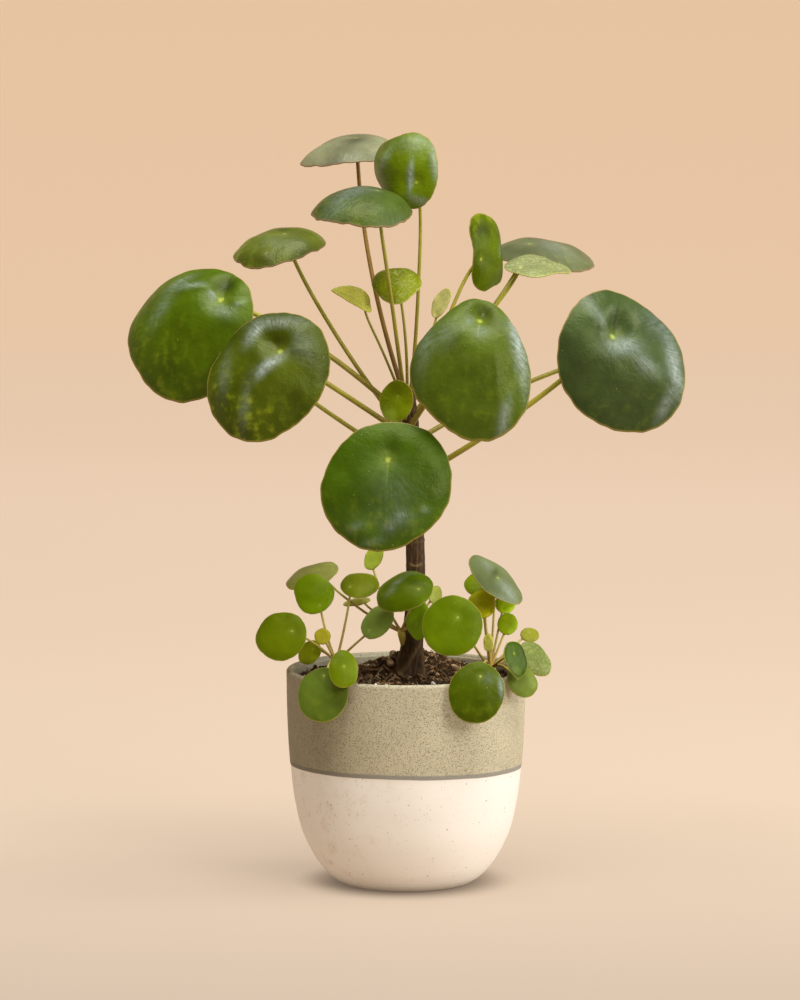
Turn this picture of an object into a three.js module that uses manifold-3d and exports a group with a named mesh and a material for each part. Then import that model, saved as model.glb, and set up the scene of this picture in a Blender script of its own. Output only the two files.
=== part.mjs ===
// Potted pilea in a round two-tone clay pot. Millimetres, +Z up, front of the plant towards -Y.
// The origin is the centre of the pot's foot, on the surface that the pot stands on.

import * as THREE from 'three'
import { mergeVertices } from 'three/addons/utils/BufferGeometryUtils.js'
import Module from 'manifold-3d'

const wasm = await Module()
wasm.setup()

// Driving dimensions of the pot

const POT_HEIGHT = 135
const RIM_RADIUS = 75
const FOOT_RADIUS = 41
const WALL = 4.2
const RIM_ROUNDING = 1.9
const FLOOR_THICKNESS = 8
const POT_SECTORS = 48
// Flank of the pot between foot and rim: radius, height
const FLANK = [[41, 0], [47.5, 4.2], [54, 11], [60.4, 21], [65.4, 32], [70, 51], [73.2, 80], [74.6, 108]]

// Driving dimensions of the potting mix

const CLEARANCE = 0.3
const POT_CLEARANCE = 0.6
const MIX_LEVEL = 127.5
const MIX_MOUND = 15.5
const MIX_MOUND_AT = [5, 20]
const MIX_MOUND_SPREAD = [30, 18]
const MIX_ROUGHNESS = 1.4
const MIX_SECTORS = 44
const MIX_RINGS = 11
// Large chips of bark on the mix: how many, half their size, how far out they lie and the turn from one to
// the next
const CHIP_COUNT = 32
const CHIP_HALF = [3.6, 2.4, 1.7]
const CHIP_EDGE = 64
const CHIP_STEP = 2.4
const CHIP_CLEAR_OF_TRUNK = 14
const CHIP_CLEAR_OF_STEM = 8

// Driving dimensions of the trunk

const TRUNK_BURIED = 92
const TRUNK_TIP = 313
const TRUNK_SECTORS = 12
// Centre line: height, then how far right it stands
const TRUNK_LINE = [[92, 1.5], [133, 2], [153, 4], [178, 6.2], [205, 6], [241, 5], [296, 2.5], [313, 0.5]]
// Radius at each height, from the buried root stock to the growing tip
const TRUNK_RADIUS = [[92, 4], [120, 8.5], [131, 9.4], [139, 7.8], [150, 7], [165, 6.3], [182, 5.9], [240, 5.7],
  [282, 5.3], [303, 4.4], [310, 3.2]]
const LEAF_SCARS = [160, 173, 188, 201, 203.5, 217, 229, 243, 256, 268, 281]
const SCAR_HEIGHT = 0.7
const SCAR_SPREAD = 1.3

// Driving dimensions of leaves

const BLADE_THICKNESS = 0.9
const JOINT_GAP = 0.5
const BLADE_RINGS = [0.36, 0.7, 1]
const BLADE_SECTORS = 20
const SMALL_BLADE_RINGS = [0.5, 1]
const SMALL_BLADE_SECTORS = 12
const STALK_SIDES = 6
const STALK_STEPS = 6
const SMALL_STALK_STEPS = 3
// Leaf directions are read along a line of sight that drops by this many degrees
const SIGHT_DROP = 6.4

// How a blade is shaped unless its own entry says otherwise, as shares of its mean size.
// dome: drop of the margin below the top; dimple: funnel over the stalk; roll: margin curling under;
// fold: halves lifting along the midrib; side: one half drooping; off: stalk off the middle;
// wave: ripple of the margin; rim: radius at eight places round the margin
const PLAIN_FORM = {
  dome: 0.1, dimple: 0.035, roll: 0.25, fold: 0, side: 0, off: 0, wave: 0.012, rim: [1, 1, 1, 1, 1, 1, 1, 1],
}
const MARGIN_WAVES = 5
const MARGIN_LOBES = 0.01
const PHASE_STEP = 2.4
const DIMPLE_SPREAD = 0.11
const ROLL_START = 0.7
const FOLD_ROUNDING = 0.03

// Crown leaves. at: where the stalk meets the blade; size: length and width; turn, lean: which way and how far the
// upper face leans from the front; tip: where the tip points, anticlockwise from the right; near: share of the
// length behind the stalk. The stalk leaves the trunk at foot and bows by bow at its middle.
const CROWN = [
  { name: 'leaf_01', at: [-31.5, 62, 464.5], size: [61.5, 61.5], turn: 97, lean: 74, tip: 190, near: 0.4,
    form: { dome: 0.16, dimple: 0.03, roll: 0.4, rim: [1, 1, 1, 0.93, 0.97, 1, 1, 1] },
    stalk: { foot: [-1.2, 1.6, 307], bow: [-6, 0, 0], radius: 1.35 } },
  { name: 'leaf_02', at: [6.5, -5, 439.5], size: [53.5, 43.5], turn: 170, lean: 22, tip: 122, near: 0.31,
    form: { dome: 0.14, dimple: 0.04, roll: 0.5, rim: [0.9, 0.98, 0.95, 1.32, 1.04, 0.97, 0.88, 0.82] },
    stalk: { foot: [2, -0.6, 301], bow: [3, 6, 0], radius: 1.1 } },
  { name: 'leaf_03', at: [-17.5, -28, 435.5], size: [63, 63], turn: 84, lean: 71, tip: 185, near: 0.35,
    form: { dome: 0.2, dimple: 0.02, roll: 0.7, rim: [1, 1, 0.95, 0.92, 0.97, 0.97, 1, 1] },
    stalk: { foot: [-0.5, -3.2, 302], bow: [0, -8, 0], radius: 1.2 } },
  { name: 'leaf_04', at: [-76, 15, 406.5], size: [59, 56.5], turn: 97, lean: 67, tip: 190, near: 0.42,
    form: { dome: 0.16, dimple: 0.03, roll: 0.5, rim: [1, 1, 0.97, 1, 0.96, 0.95, 1.02, 1] },
    stalk: { foot: [0, 1, 284], bow: [-3, 0, -5], radius: 1.3 } },
  { name: 'leaf_05', at: [-114.5, -15, 367.3], size: [88.5, 86], turn: 125, lean: 26, tip: 214, near: 0.2,
    form: { dome: 0.12, dimple: 0.04, side: 0.5, rim: [0.97, 0.99, 0.95, 1.02, 1, 0.97, 1, 0.98] },
    stalk: { foot: [-1, -1, 293], bow: [-3, 0, 11], radius: 1.6 } },
  { name: 'leaf_06', at: [-77, -50, 338], size: [83.5, 75], turn: 120, lean: 18, tip: 245, near: 0.32,
    form: { dome: 0.12, dimple: 0.04, rim: [1.06, 1.08, 1.03, 0.88, 0.87, 0.97, 1, 1.02] },
    stalk: { foot: [1, -2, 281], bow: [0, 0, 0], radius: 1.6 } },
  { name: 'leaf_07', at: [45, -60, 357.5], size: [92, 74], turn: 90, lean: 26, tip: 262, near: 0.2,
    form: { dome: 0.16, dimple: 0.04, rim: [1.05, 0.92, 0.94, 1.02, 0.94, 0.8, 0.96, 0.88] },
    stalk: { foot: [3, -2, 288], bow: [0, 0, 0], radius: 1.6 } },
  { name: 'leaf_08', at: [128, -10, 344], size: [91, 81], turn: 40, lean: 20, tip: 290, near: 0.32,
    form: { dome: 0.1, dimple: 0.06, rim: [0.98, 0.93, 0.99, 1.05, 1.01, 0.98, 1.03, 0.99] },
    stalk: { foot: [5.5, 0, 255], bow: [2, 0, -4], radius: 1.7 } },
  { name: 'leaf_09', at: [-11, -70, 273.5], size: [80.5, 80], turn: 90, lean: 8, tip: 268, near: 0.3,
    form: { dome: 0.05, dimple: 0.02, rim: [1, 1.03, 0.97, 0.91, 0.98, 1.04, 1, 0.95] },
    stalk: { foot: [4.5, -2, 247], bow: [0, 0, -4], radius: 1.6 } },
  { name: 'leaf_10', at: [-5, -25, 308.5], size: [26, 21], turn: 150, lean: 20, tip: 270, near: 0.35,
    form: { dome: -0.15, dimple: 0.02 },
    stalk: { foot: [0.5, -2, 291], bow: [0, 0, 0], radius: 0.9 } },
  { name: 'leaf_11', at: [47, 20, 390.5], size: [49, 38], turn: 2, lean: 57, tip: 97, near: 0.42,
    form: { dome: 0.06, dimple: 0.02, off: 0.28, rim: [1.1, 1, 0.95, 1.05, 0.9, 1.15, 0.95, 1.15] },
    stalk: { foot: [3.4, 2, 300], bow: [-1, 0, 3], radius: 1.2 } },
  { name: 'leaf_12', at: [78.7, 64, 397.5], size: [62.5, 57.5], turn: 87, lean: 69, tip: -8, near: 0.34,
    form: { dome: 0.12, dimple: 0.02, rim: [0.9, 0.97, 1.02, 1.08, 1.05, 0.88, 1, 1] },
    stalk: { foot: [4, 2.5, 290], bow: [0, 0, -3], radius: 1.4 } },
  { name: 'leaf_13', at: [71.5, 10, 385.5], size: [41.5, 27.5], turn: 86, lean: 60, tip: -3, near: 0.24,
    form: { dome: 0.02, fold: 0.2, rim: [1.04, 0.78, 1, 0.72, 1, 1, 1, 1] },
    stalk: { foot: [4, 0.5, 294], bow: [0, 0, 0], radius: 1 } },
  { name: 'leaf_14', at: [-5.5, -3, 382.5], size: [32.5, 32], turn: 90, lean: 48, tip: 275, near: 0.28,
    form: { dome: 0.14, rim: [0.98, 0.92, 0.94, 0.8, 0.92, 1, 1.05, 1.12] },
    stalk: { foot: [0.6, -2.6, 305], bow: [2, 0, 0], radius: 0.9 } },
  { name: 'leaf_15', at: [-26, -5, 364], size: [30, 16], turn: 60, lean: 50, tip: 150, near: 0.25,
    form: { dome: 0.1 },
    stalk: { foot: [-1.6, -1.2, 303], bow: [0, 0, 0], radius: 0.8 } },
  { name: 'leaf_16', at: [19, 15, 356.5], size: [19.5, 10.5], turn: 160, lean: 30, tip: 63, near: 0.12,
    form: { dome: 0, fold: 0.3 },
    stalk: { foot: [1.6, 2.2, 307], bow: [0, 0, 0], radius: 0.8 } },
  { name: 'leaf_17', at: [-77, 5, 317], size: [52.5, 50], turn: 130, lean: 30, tip: 225, near: 0.3,
    form: { dome: 0.12 },
    stalk: { foot: [4, 1, 262], bow: [0, 0, -2], radius: 1.4 } },
  { name: 'leaf_18', at: [126.5, 45, 330], size: [57, 53.5], turn: 45, lean: 30, tip: 300, near: 0.3,
    form: { dome: 0.12 },
    stalk: { foot: [4.5, 1.5, 277], bow: [-1, 0, 4], radius: 1.5 } },
]

// Young plants and the shoot at the trunk's foot: a short stem from root to hub, and leaves on thin stalks
const YOUNG = [
  { name: 'young_plant_left', root: [-43, 6, 112], hub: [-44, 5, 141], stem: 2.2, stalk: 0.75, leaves: [
    { at: [-71, -15, 160.5], size: [33, 31.5], turn: 120, lean: 22, tip: 195, near: 0.27,
      form: { dome: 0.06, rim: [0.94, 0.96, 1, 1, 1.05, 1, 0.98, 0.95] }, bow: [0, 0, 2] },
    { at: [-54, 5, 174], size: [27, 25.5], turn: 100, lean: 18, tip: 118, near: 0.18,
      form: { dome: 0.06, rim: [0.98, 0.99, 1.08, 1, 0.93, 1, 0.93, 0.97] }, bow: [-1, 0, 0] },
    { at: [-35, 10, 185], size: [25, 24.5], turn: 98, lean: 50, tip: 27, near: 0.24,
      form: { dome: 0.08, rim: [1, 1, 1, 1, 1, 0.95, 0.95, 1] }, bow: [1, 0, 0] },
    { at: [-23, -8, 160], size: [24, 18], turn: 140, lean: 25, tip: 50, near: 0.2,
      form: { dome: 0.06 }, bow: [0, 0, 0] },
    { at: [-51, -3, 153], size: [11, 10], turn: 120, lean: 30, tip: 120, near: 0.2,
      form: { dome: 0 }, bow: [0, 0, 0] },
    { at: [-58.5, 6, 146], size: [16.5, 14.5], turn: 150, lean: 30, tip: 215, near: 0.3,
      form: { dome: 0.05 }, bow: [0, 0, 2] },
    { at: [-38, -71, 146.5], size: [24, 18], turn: 60, lean: 20, tip: 270, near: 0.43,
      form: { dome: 0.08, rim: [1, 1, 0.94, 1, 1, 1, 1.04, 1] }, bow: [2, 0, 6] },
    { at: [-50.5, -62.5, 139.5], size: [34, 31.5], turn: 125, lean: 20, tip: 265, near: 0.15,
      form: { dome: 0.04 }, bow: [0, 0, 4] },
  ] },
  { name: 'shoot_at_foot', root: [0, -1, 147], hub: [-3.5, -5, 160], stem: 2.6, stalk: 0.8, leaves: [
    { at: [-55.5, 30, 193.5], size: [34.5, 31.5], turn: 107, lean: 65, tip: 198, near: 0.36,
      form: { dome: 0.08 }, bow: [0, 2, -5] },
    { at: [-28, 28, 175.5], size: [17.5, 15], turn: 95, lean: 78, tip: 190, near: 0.3,
      form: { dome: 0.1 }, bow: [0, 0, -1] },
    { at: [-22.5, 30, 197.5], size: [16.5, 12.5], turn: 150, lean: 35, tip: 62, near: 0.25,
      form: { dome: 0 }, bow: [-2, 0, 0] },
    { at: [8, -27, 188.5], size: [36.5, 35], turn: 105, lean: 43, tip: 175, near: 0.22,
      form: { dome: 0.13, rim: [1, 1, 1, 1, 0.93, 0.95, 1, 1] }, bow: [0, 0, 0] },
    { at: [6.5, -20, 165.5], size: [26.5, 16.5], turn: 160, lean: 30, tip: 90, near: 0.4,
      form: { dome: 0.08, rim: [1, 1, 1, 1, 1, 0.87, 0.93, 1] }, bow: [0, 0, 0] },
    { at: [17.5, -11, 181], size: [12.5, 9], turn: 20, lean: 40, tip: 60, near: 0.3,
      form: { dome: 0 }, bow: [1, -6, 0] },
  ] },
  { name: 'young_plant_right', root: [53, -4, 112], hub: [52.5, -5, 137.5], stem: 2.2, stalk: 0.75, leaves: [
    { at: [32, -40, 172.5], size: [38, 37], turn: 90, lean: 12, tip: 235, near: 0.34,
      form: { dome: 0.04 }, bow: [0, 0, -1] },
    { at: [45.5, -76, 141], size: [38, 34], turn: 90, lean: 15, tip: 255, near: 0.24,
      form: { dome: 0.08 }, bow: [0, 0, 7] },
    { at: [57.5, 0, 192], size: [42, 35.5], turn: 48, lean: 61, tip: -42, near: 0.5,
      form: { dome: 0.05, rim: [1, 0.95, 1, 1, 1, 1, 1, 1] }, bow: [0, 0, 0] },
    { at: [47, 16, 184], size: [19, 17.5], turn: 100, lean: 40, tip: 120, near: 0.3,
      form: { dome: 0.05 }, bow: [0, 0, 0] },
    { at: [49, 3, 172.5], size: [20, 17.5], turn: 120, lean: 30, tip: 120, near: 0.3,
      form: { dome: 0.05 }, bow: [0, 0, 0] },
    { at: [61.5, 8, 173], size: [15, 12.5], turn: 60, lean: 30, tip: 60, near: 0.3,
      form: { dome: 0.05 }, bow: [0, 0, 0] },
    { at: [63.5, 2, 161.5], size: [14, 12.5], turn: 90, lean: 20, tip: 80, near: 0.4,
      form: { dome: 0.05 }, bow: [0, 0, 0] },
    { at: [76, 10, 154.5], size: [12.5, 10], turn: 60, lean: 35, tip: 10, near: 0.3,
      form: { dome: 0.05 }, bow: [0, 0, 1] },
    { at: [66.7, -47, 151], size: [23, 18.5], turn: 20, lean: 45, tip: -80, near: 0.33,
      form: { dome: 0.08, rim: [0.95, 0.88, 1, 1.05, 1.1, 1.1, 1, 1] }, bow: [0, 0, 1] },
    { at: [78.5, 0, 145.5], size: [24, 19.5], turn: 50, lean: 35, tip: -42, near: 0.3,
      form: { dome: 0.05, rim: [1.1, 1.12, 1.05, 0.8, 0.76, 0.95, 1, 1] }, bow: [0, 0, 2] },
    { at: [69, -43, 134.5], size: [21, 19.5], turn: 40, lean: 30, tip: -20, near: 0.3,
      form: { dome: 0.08 }, bow: [0, 0, 5] },
    { at: [51, -20, 150.5], size: [11, 7.5], turn: 180, lean: 40, tip: 90, near: 0.2,
      form: { dome: 0 }, bow: [0, 0, 0] },
  ] },
]

// Colours

const paint = (color, roughness) => new THREE.MeshStandardMaterial({ color, roughness, metalness: 0 })
const CLAY = paint(0xb3a587, 0.7)
const MIX = paint(0x35241a, 1)
const BARK = paint(0x4a3427, 0.9)
const LEAF = paint(0x3d6b12, 0.35)
const OLD_LEAF = paint(0x6f8358, 0.4)
const YOUNG_LEAF = paint(0xa5b24a, 0.4)
const OFFSET_LEAF = paint(0x557f1c, 0.4)
const STALK = paint(0x87802f, 0.5)
const GREY_GREEN_LEAVES = ['leaf_01', 'leaf_03', 'leaf_04', 'leaf_12']
const PALE_LEAVES = ['leaf_13', 'leaf_14', 'leaf_15', 'leaf_16']

// Value of a table of [place, value] pairs, joined by straight lines
function along(table, place) {
  const last = table.length - 1
  if (place <= table[0][0]) return table[0][1]
  if (place >= table[last][0]) return table[last][1]
  const next = table.findIndex(([edge]) => edge >= place)
  const [p0, v0] = table[next - 1]
  const [p1, v1] = table[next]
  return v0 + (v1 - v0) * (place - p0) / (p1 - p0)
}

// Solids

function toSolid(geometry) {
  const bare = new THREE.BufferGeometry()
  bare.setAttribute('position', geometry.getAttribute('position'))
  if (geometry.index) bare.setIndex(geometry.index)
  const merged = mergeVertices(bare, 1e-4)
  return new wasm.Manifold(new wasm.Mesh({
    numProp: 3,
    vertProperties: new Float32Array(merged.getAttribute('position').array),
    triVerts: new Uint32Array(merged.index.array),
  }))
}

function toGeometry(solid) {
  const mesh = solid.getMesh()
  const geometry = new THREE.BufferGeometry()
  geometry.setAttribute('position', new THREE.BufferAttribute(new Float32Array(mesh.vertProperties), 3))
  geometry.setIndex(new THREE.BufferAttribute(new Uint32Array(mesh.triVerts), 1))
  geometry.computeVertexNormals()
  return geometry
}

// Moves every vertex of a geometry by a rule that changes the vector it is given
function bend(geometry, rule) {
  const position = geometry.getAttribute('position')
  const vertex = new THREE.Vector3()
  for (let i = 0; i < position.count; i += 1) {
    vertex.fromBufferAttribute(position, i)
    rule(vertex)
    position.setXYZ(i, vertex.x, vertex.y, vertex.z)
  }
  return geometry
}

// A body of revolution about Z from a profile of [radius, height] pairs that starts and ends on the axis
function turned(profile, sectors) {
  const points = profile.map(([radius, height]) => new THREE.Vector2(radius, height))
  return new THREE.LatheGeometry(points, sectors).rotateX(Math.PI / 2)
}

// Pot: round flanks, a rounded lip and a plain inside

function potGeometry() {
  const outside = FLANK.map(([radius, height]) => [radius, height])
  const lip = []
  const lipSteps = 4
  for (let i = 0; i <= lipSteps; i += 1) {
    const angle = Math.PI * i / lipSteps
    lip.push([
      RIM_RADIUS - RIM_ROUNDING + RIM_ROUNDING * Math.cos(angle),
      POT_HEIGHT - RIM_ROUNDING + RIM_ROUNDING * Math.sin(angle),
    ])
  }
  const inside = FLANK.slice(2).reverse().map(([radius, height]) => [radius - WALL, height])
  const rounding = inside.filter(([, height]) => height > FLOOR_THICKNESS)
  return turned([[0, 0], ...outside, ...lip, ...rounding, [FOOT_RADIUS, FLOOR_THICKNESS], [0, FLOOR_THICKNESS]],
    POT_SECTORS)
}

// Potting mix: fills the pot and heaps up behind the trunk

function mixHeight(x, y) {
  const sideways = (x - MIX_MOUND_AT[0]) / MIX_MOUND_SPREAD[0]
  const backwards = (y - MIX_MOUND_AT[1]) / MIX_MOUND_SPREAD[1]
  const away = sideways ** 2 + backwards ** 2
  const lumps = Math.sin(0.42 * x + 1.3) * Math.cos(0.37 * y) + 0.7 * Math.sin(0.29 * y - 0.51 * x)
  return MIX_LEVEL + MIX_MOUND * Math.exp(-away) + MIX_ROUGHNESS * lumps
}

// Chips on a sunflower spiral, left out next to the trunk and the young plants' stems
function chipSolids() {
  const chips = []
  for (let i = 0; i < CHIP_COUNT; i += 1) {
    const far = CHIP_EDGE * Math.sqrt((i + 0.5) / CHIP_COUNT)
    const x = far * Math.cos(CHIP_STEP * i)
    const y = far * Math.sin(CHIP_STEP * i)
    const clear = Math.hypot(x - along(TRUNK_LINE, MIX_LEVEL), y) > CHIP_CLEAR_OF_TRUNK
      && YOUNG.every(({ hub }) => Math.hypot(x - hub[0], y - hub[1]) > CHIP_CLEAR_OF_STEM)
    if (clear) {
      const [long, wide, high] = CHIP_HALF
      const half = [
        long + 0.9 * Math.sin(2.1 * i),
        wide + 0.5 * Math.cos(3.7 * i),
        high + 0.3 * Math.sin(5.3 * i),
      ]
      const chip = new THREE.BoxGeometry(2 * half[0], 2 * half[1], 2 * half[2])
        .rotateY(0.5 * Math.sin(4.4 * i))
        .rotateZ(1.9 * i)
        .translate(x, y, mixHeight(x, y) + 0.3 * half[2])
      chips.push(toSolid(chip))
    }
  }
  return chips
}

function mixSolid() {
  const wall = FLANK.filter(([, height]) => height > FLOOR_THICKNESS + 2)
    .map(([radius, height]) => [radius - WALL - POT_CLEARANCE, height])
  const brim = wall[wall.length - 1][0]
  const top = []
  for (let i = 0; i < MIX_RINGS; i += 1) {
    top.push([brim * (1 - i / MIX_RINGS), MIX_LEVEL])
  }
  const floor = FLOOR_THICKNESS + POT_CLEARANCE
  const body = turned([[0, floor], [FOOT_RADIUS - 1, floor], ...wall, ...top, [0, MIX_LEVEL]], MIX_SECTORS)
  bend(body, (vertex) => {
    if (vertex.z >= MIX_LEVEL - 0.01) vertex.z = mixHeight(vertex.x, vertex.y)
  })
  return chipSolids().reduce((mix, chip) => mix.add(chip), toSolid(body))
}

// Trunk: a bare woody stem with ring-shaped leaf scars, swollen where it enters the mix

function trunkSolid(extra) {
  const levels = [TRUNK_BURIED, 106, 120, 131, 139, 150]
  for (const scar of LEAF_SCARS) {
    levels.push(scar - SCAR_SPREAD, scar, scar + SCAR_SPREAD)
  }
  levels.push(195, 236, 250, 275, 292, 303, 310)
  levels.sort((a, b) => a - b)
  const apart = levels.filter((level, i) => i === 0 || level - levels[i - 1] > 0.6)
  const profile = apart.map((level) => {
    const bump = (scar) => Math.exp(-(((level - scar) / SCAR_SPREAD) ** 2))
    const swelling = LEAF_SCARS.reduce((sum, scar) => sum + bump(scar), 0)
    return [along(TRUNK_RADIUS, level) + SCAR_HEIGHT * Math.min(1, swelling) + extra, level]
  })
  profile[0][1] -= extra
  const body = turned([[0, TRUNK_BURIED - extra], ...profile, [0, TRUNK_TIP + extra]], TRUNK_SECTORS)
  bend(body, (vertex) => {
    const round = Math.atan2(vertex.y, vertex.x)
    const roots = 1 + 0.12 * Math.cos(3 * round + 0.6) * Math.exp(-(((vertex.z - 130) / 14) ** 2))
    vertex.x = vertex.x * roots + along(TRUNK_LINE, vertex.z)
    vertex.y *= roots
  })
  return toSolid(body)
}

// Leaf directions

const drop = THREE.MathUtils.degToRad(SIGHT_DROP)
const RIGHT = new THREE.Vector3(1, 0, 0)
const UPWARD = new THREE.Vector3(0, Math.sin(drop), Math.cos(drop))
const TOWARDS = new THREE.Vector3(0, -Math.cos(drop), Math.sin(drop))

function upperFace({ turn, lean }) {
  const round = THREE.MathUtils.degToRad(turn)
  const tilt = THREE.MathUtils.degToRad(lean)
  return new THREE.Vector3()
    .addScaledVector(RIGHT, Math.sin(tilt) * Math.cos(round))
    .addScaledVector(UPWARD, Math.sin(tilt) * Math.sin(round))
    .addScaledVector(TOWARDS, Math.cos(tilt))
}

// Turns blade axes (across, to the tip, out of the upper face) into the plant's axes
function bladeTurn(leaf) {
  const face = upperFace(leaf)
  const heading = THREE.MathUtils.degToRad(leaf.tip)
  const toTip = new THREE.Vector3()
    .addScaledVector(RIGHT, Math.cos(heading))
    .addScaledVector(UPWARD, Math.sin(heading))
  toTip.addScaledVector(TOWARDS, -toTip.dot(face) / TOWARDS.dot(face)).normalize()
  const across = new THREE.Vector3().crossVectors(toTip, face)
  return new THREE.Matrix4().makeBasis(across, toTip, face)
}

// Leaf blade: round and shield-shaped, with the stalk joined to its under side

// Smooth curve round the margin through the eight given radii
function rimFactor(round, rim) {
  const places = rim.length
  return rim.reduce((sum, radius, i) => {
    const away = round - 2 * Math.PI * i / places
    const half = Math.abs(Math.sin(away / 2)) < 1e-6 ? 5e-6 : away / 2
    return sum + radius * Math.sin(places * half) / (places * Math.tan(half))
  }, 0)
}

function bladeSurface(leaf, phase) {
  const form = { ...PLAIN_FORM, ...leaf.form }
  const [length, width] = leaf.size
  const mean = (length + width) / 2
  const middleV = (0.5 - leaf.near) * length
  const topV = middleV / 2
  const middleU = form.off * width
  const height = (across, v) => {
    const u = across - middleU
    const fromTop = (2 * u / width) ** 2 + (2 * (v - topV) / length) ** 2
    const fromMiddle = Math.hypot(2 * u / width, 2 * (v - middleV) / length)
    const round = Math.atan2((v - middleV) / length, u / width)
    const toStalk = (across ** 2 + v ** 2) / (DIMPLE_SPREAD * mean) ** 2
    return mean * (
      -form.dome * fromTop
      + form.dimple * (1 - Math.exp(-toStalk))
      + form.fold * Math.hypot(u / mean, FOLD_ROUNDING)
      - form.roll * Math.max(0, fromMiddle - ROLL_START) ** 2
      - form.side * (Math.max(0, u) / mean) ** 2
      + form.wave * fromMiddle ** 3 * Math.sin(MARGIN_WAVES * round + phase)
    )
  }
  const atStalk = height(0, 0)
  return (share, round) => {
    const lobes = 1 + MARGIN_LOBES * Math.sin(MARGIN_WAVES * round + phase)
    const reach = share * rimFactor(round, form.rim) * lobes
    const rimU = middleU * share + reach * width / 2 * Math.cos(round)
    const rimV = middleV * share + reach * length / 2 * Math.sin(round)
    return new THREE.Vector3(rimU, rimV, height(rimU, rimV) - atStalk)
  }
}

// Both faces are split into triangles alike, so they stay apart everywhere
function bladeGeometry(leaf, phase, rings, sectors) {
  const surface = bladeSurface(leaf, phase)
  const step = 1e-3
  const lower = (share, round) => {
    const here = surface(share, round)
    const outward = surface(share + step, round).sub(surface(share - step, round))
    const around = surface(share, round + step).sub(surface(share, round - step))
    const normal = share < step ? new THREE.Vector3(0, 0, 1) : outward.cross(around).normalize()
    return here.addScaledVector(normal, -BLADE_THICKNESS)
  }
  const points = []
  for (const face of [surface, lower]) {
    points.push(face(0, 0))
    for (const share of rings) {
      for (let j = 0; j < sectors; j += 1) points.push(face(share, 2 * Math.PI * j / sectors))
    }
  }
  const faceSize = 1 + rings.length * sectors
  const at = (side, ring, sector) => side * faceSize + 1 + ring * sectors + sector % sectors
  const triangles = []
  const add = (side, a, b, c) => triangles.push(a, side ? c : b, side ? b : c)
  for (let j = 0; j < sectors; j += 1) {
    for (const side of [0, 1]) {
      add(side, side * faceSize, at(side, 0, j), at(side, 0, j + 1))
      for (let i = 1; i < rings.length; i += 1) {
        add(side, at(side, i - 1, j), at(side, i, j), at(side, i, j + 1))
        add(side, at(side, i - 1, j), at(side, i, j + 1), at(side, i - 1, j + 1))
      }
    }
    const edge = rings.length - 1
    triangles.push(at(0, edge, j), at(1, edge, j), at(1, edge, j + 1))
    triangles.push(at(0, edge, j), at(1, edge, j + 1), at(0, edge, j + 1))
  }
  const geometry = new THREE.BufferGeometry().setFromPoints(points)
  geometry.setIndex(triangles)
  geometry.computeVertexNormals()
  return geometry
}

// Leaf stalk: runs from a foot to the under side of the blade and turns into it at the end

const HOOK = 0.45
const HOOK_POWER = 6

class StalkCurve extends THREE.Curve {
  constructor(foot, leaf, bow, topGap) {
    super()
    this.face = upperFace(leaf)
    this.foot = new THREE.Vector3(...foot)
    this.top = new THREE.Vector3(...leaf.at).addScaledVector(this.face, -topGap)
    this.bow = new THREE.Vector3(...bow)
    this.hook = HOOK * this.foot.distanceTo(this.top)
  }

  getPoint(t, target = new THREE.Vector3()) {
    return target.lerpVectors(this.foot, this.top, t)
      .addScaledVector(this.bow, 4 * t * (1 - t))
      .addScaledVector(this.face, -this.hook * t ** HOOK_POWER * (1 - t))
  }
}

function rodGeometry(curve, radius, steps) {
  const outline = new THREE.Shape()
  for (let i = 0; i <= STALK_SIDES; i += 1) {
    const angle = 2 * Math.PI * i / STALK_SIDES
    const place = [radius * Math.cos(angle), radius * Math.sin(angle)]
    if (i === 0) outline.moveTo(...place)
    else outline.lineTo(...place)
  }
  return new THREE.ExtrudeGeometry(outline, { steps, extrudePath: curve, bevelEnabled: false })
}

// The upper end of a stalk is cut parallel to the blade above it
function stalkSolid(curve, radius, steps) {
  return toSolid(bend(rodGeometry(curve, radius, steps), (vertex) => {
    const above = vertex.clone().sub(curve.top).dot(curve.face)
    if (above > 0 && vertex.distanceTo(curve.top) < 2 * radius) vertex.addScaledVector(curve.face, -above)
  }))
}

// Assembly

const plant = new THREE.Group()

function addPart(name, geometry, material) {
  const mesh = new THREE.Mesh(geometry, material)
  mesh.name = name
  plant.add(mesh)
  return mesh
}

const trunk = trunkSolid(0)
const trunkRoom = trunkSolid(CLEARANCE)

addPart('pot', potGeometry(), CLAY)
addPart('trunk', toGeometry(trunk), BARK)

function bladeMaterial(name) {
  if (GREY_GREEN_LEAVES.includes(name)) return OLD_LEAF
  return PALE_LEAVES.includes(name) ? YOUNG_LEAF : LEAF
}

CROWN.forEach((leaf, index) => {
  const blade = addPart(`${leaf.name}_blade`,
    bladeGeometry(leaf, PHASE_STEP * index, BLADE_RINGS, BLADE_SECTORS), bladeMaterial(leaf.name))
  blade.position.set(...leaf.at)
  blade.quaternion.setFromRotationMatrix(bladeTurn(leaf))
  const { foot, bow, radius } = leaf.stalk
  const curve = new StalkCurve(foot, leaf, bow, BLADE_THICKNESS + JOINT_GAP)
  addPart(`${leaf.name}_stalk`, toGeometry(stalkSolid(curve, radius, STALK_STEPS).subtract(trunkRoom)), STALK)
})

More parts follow.
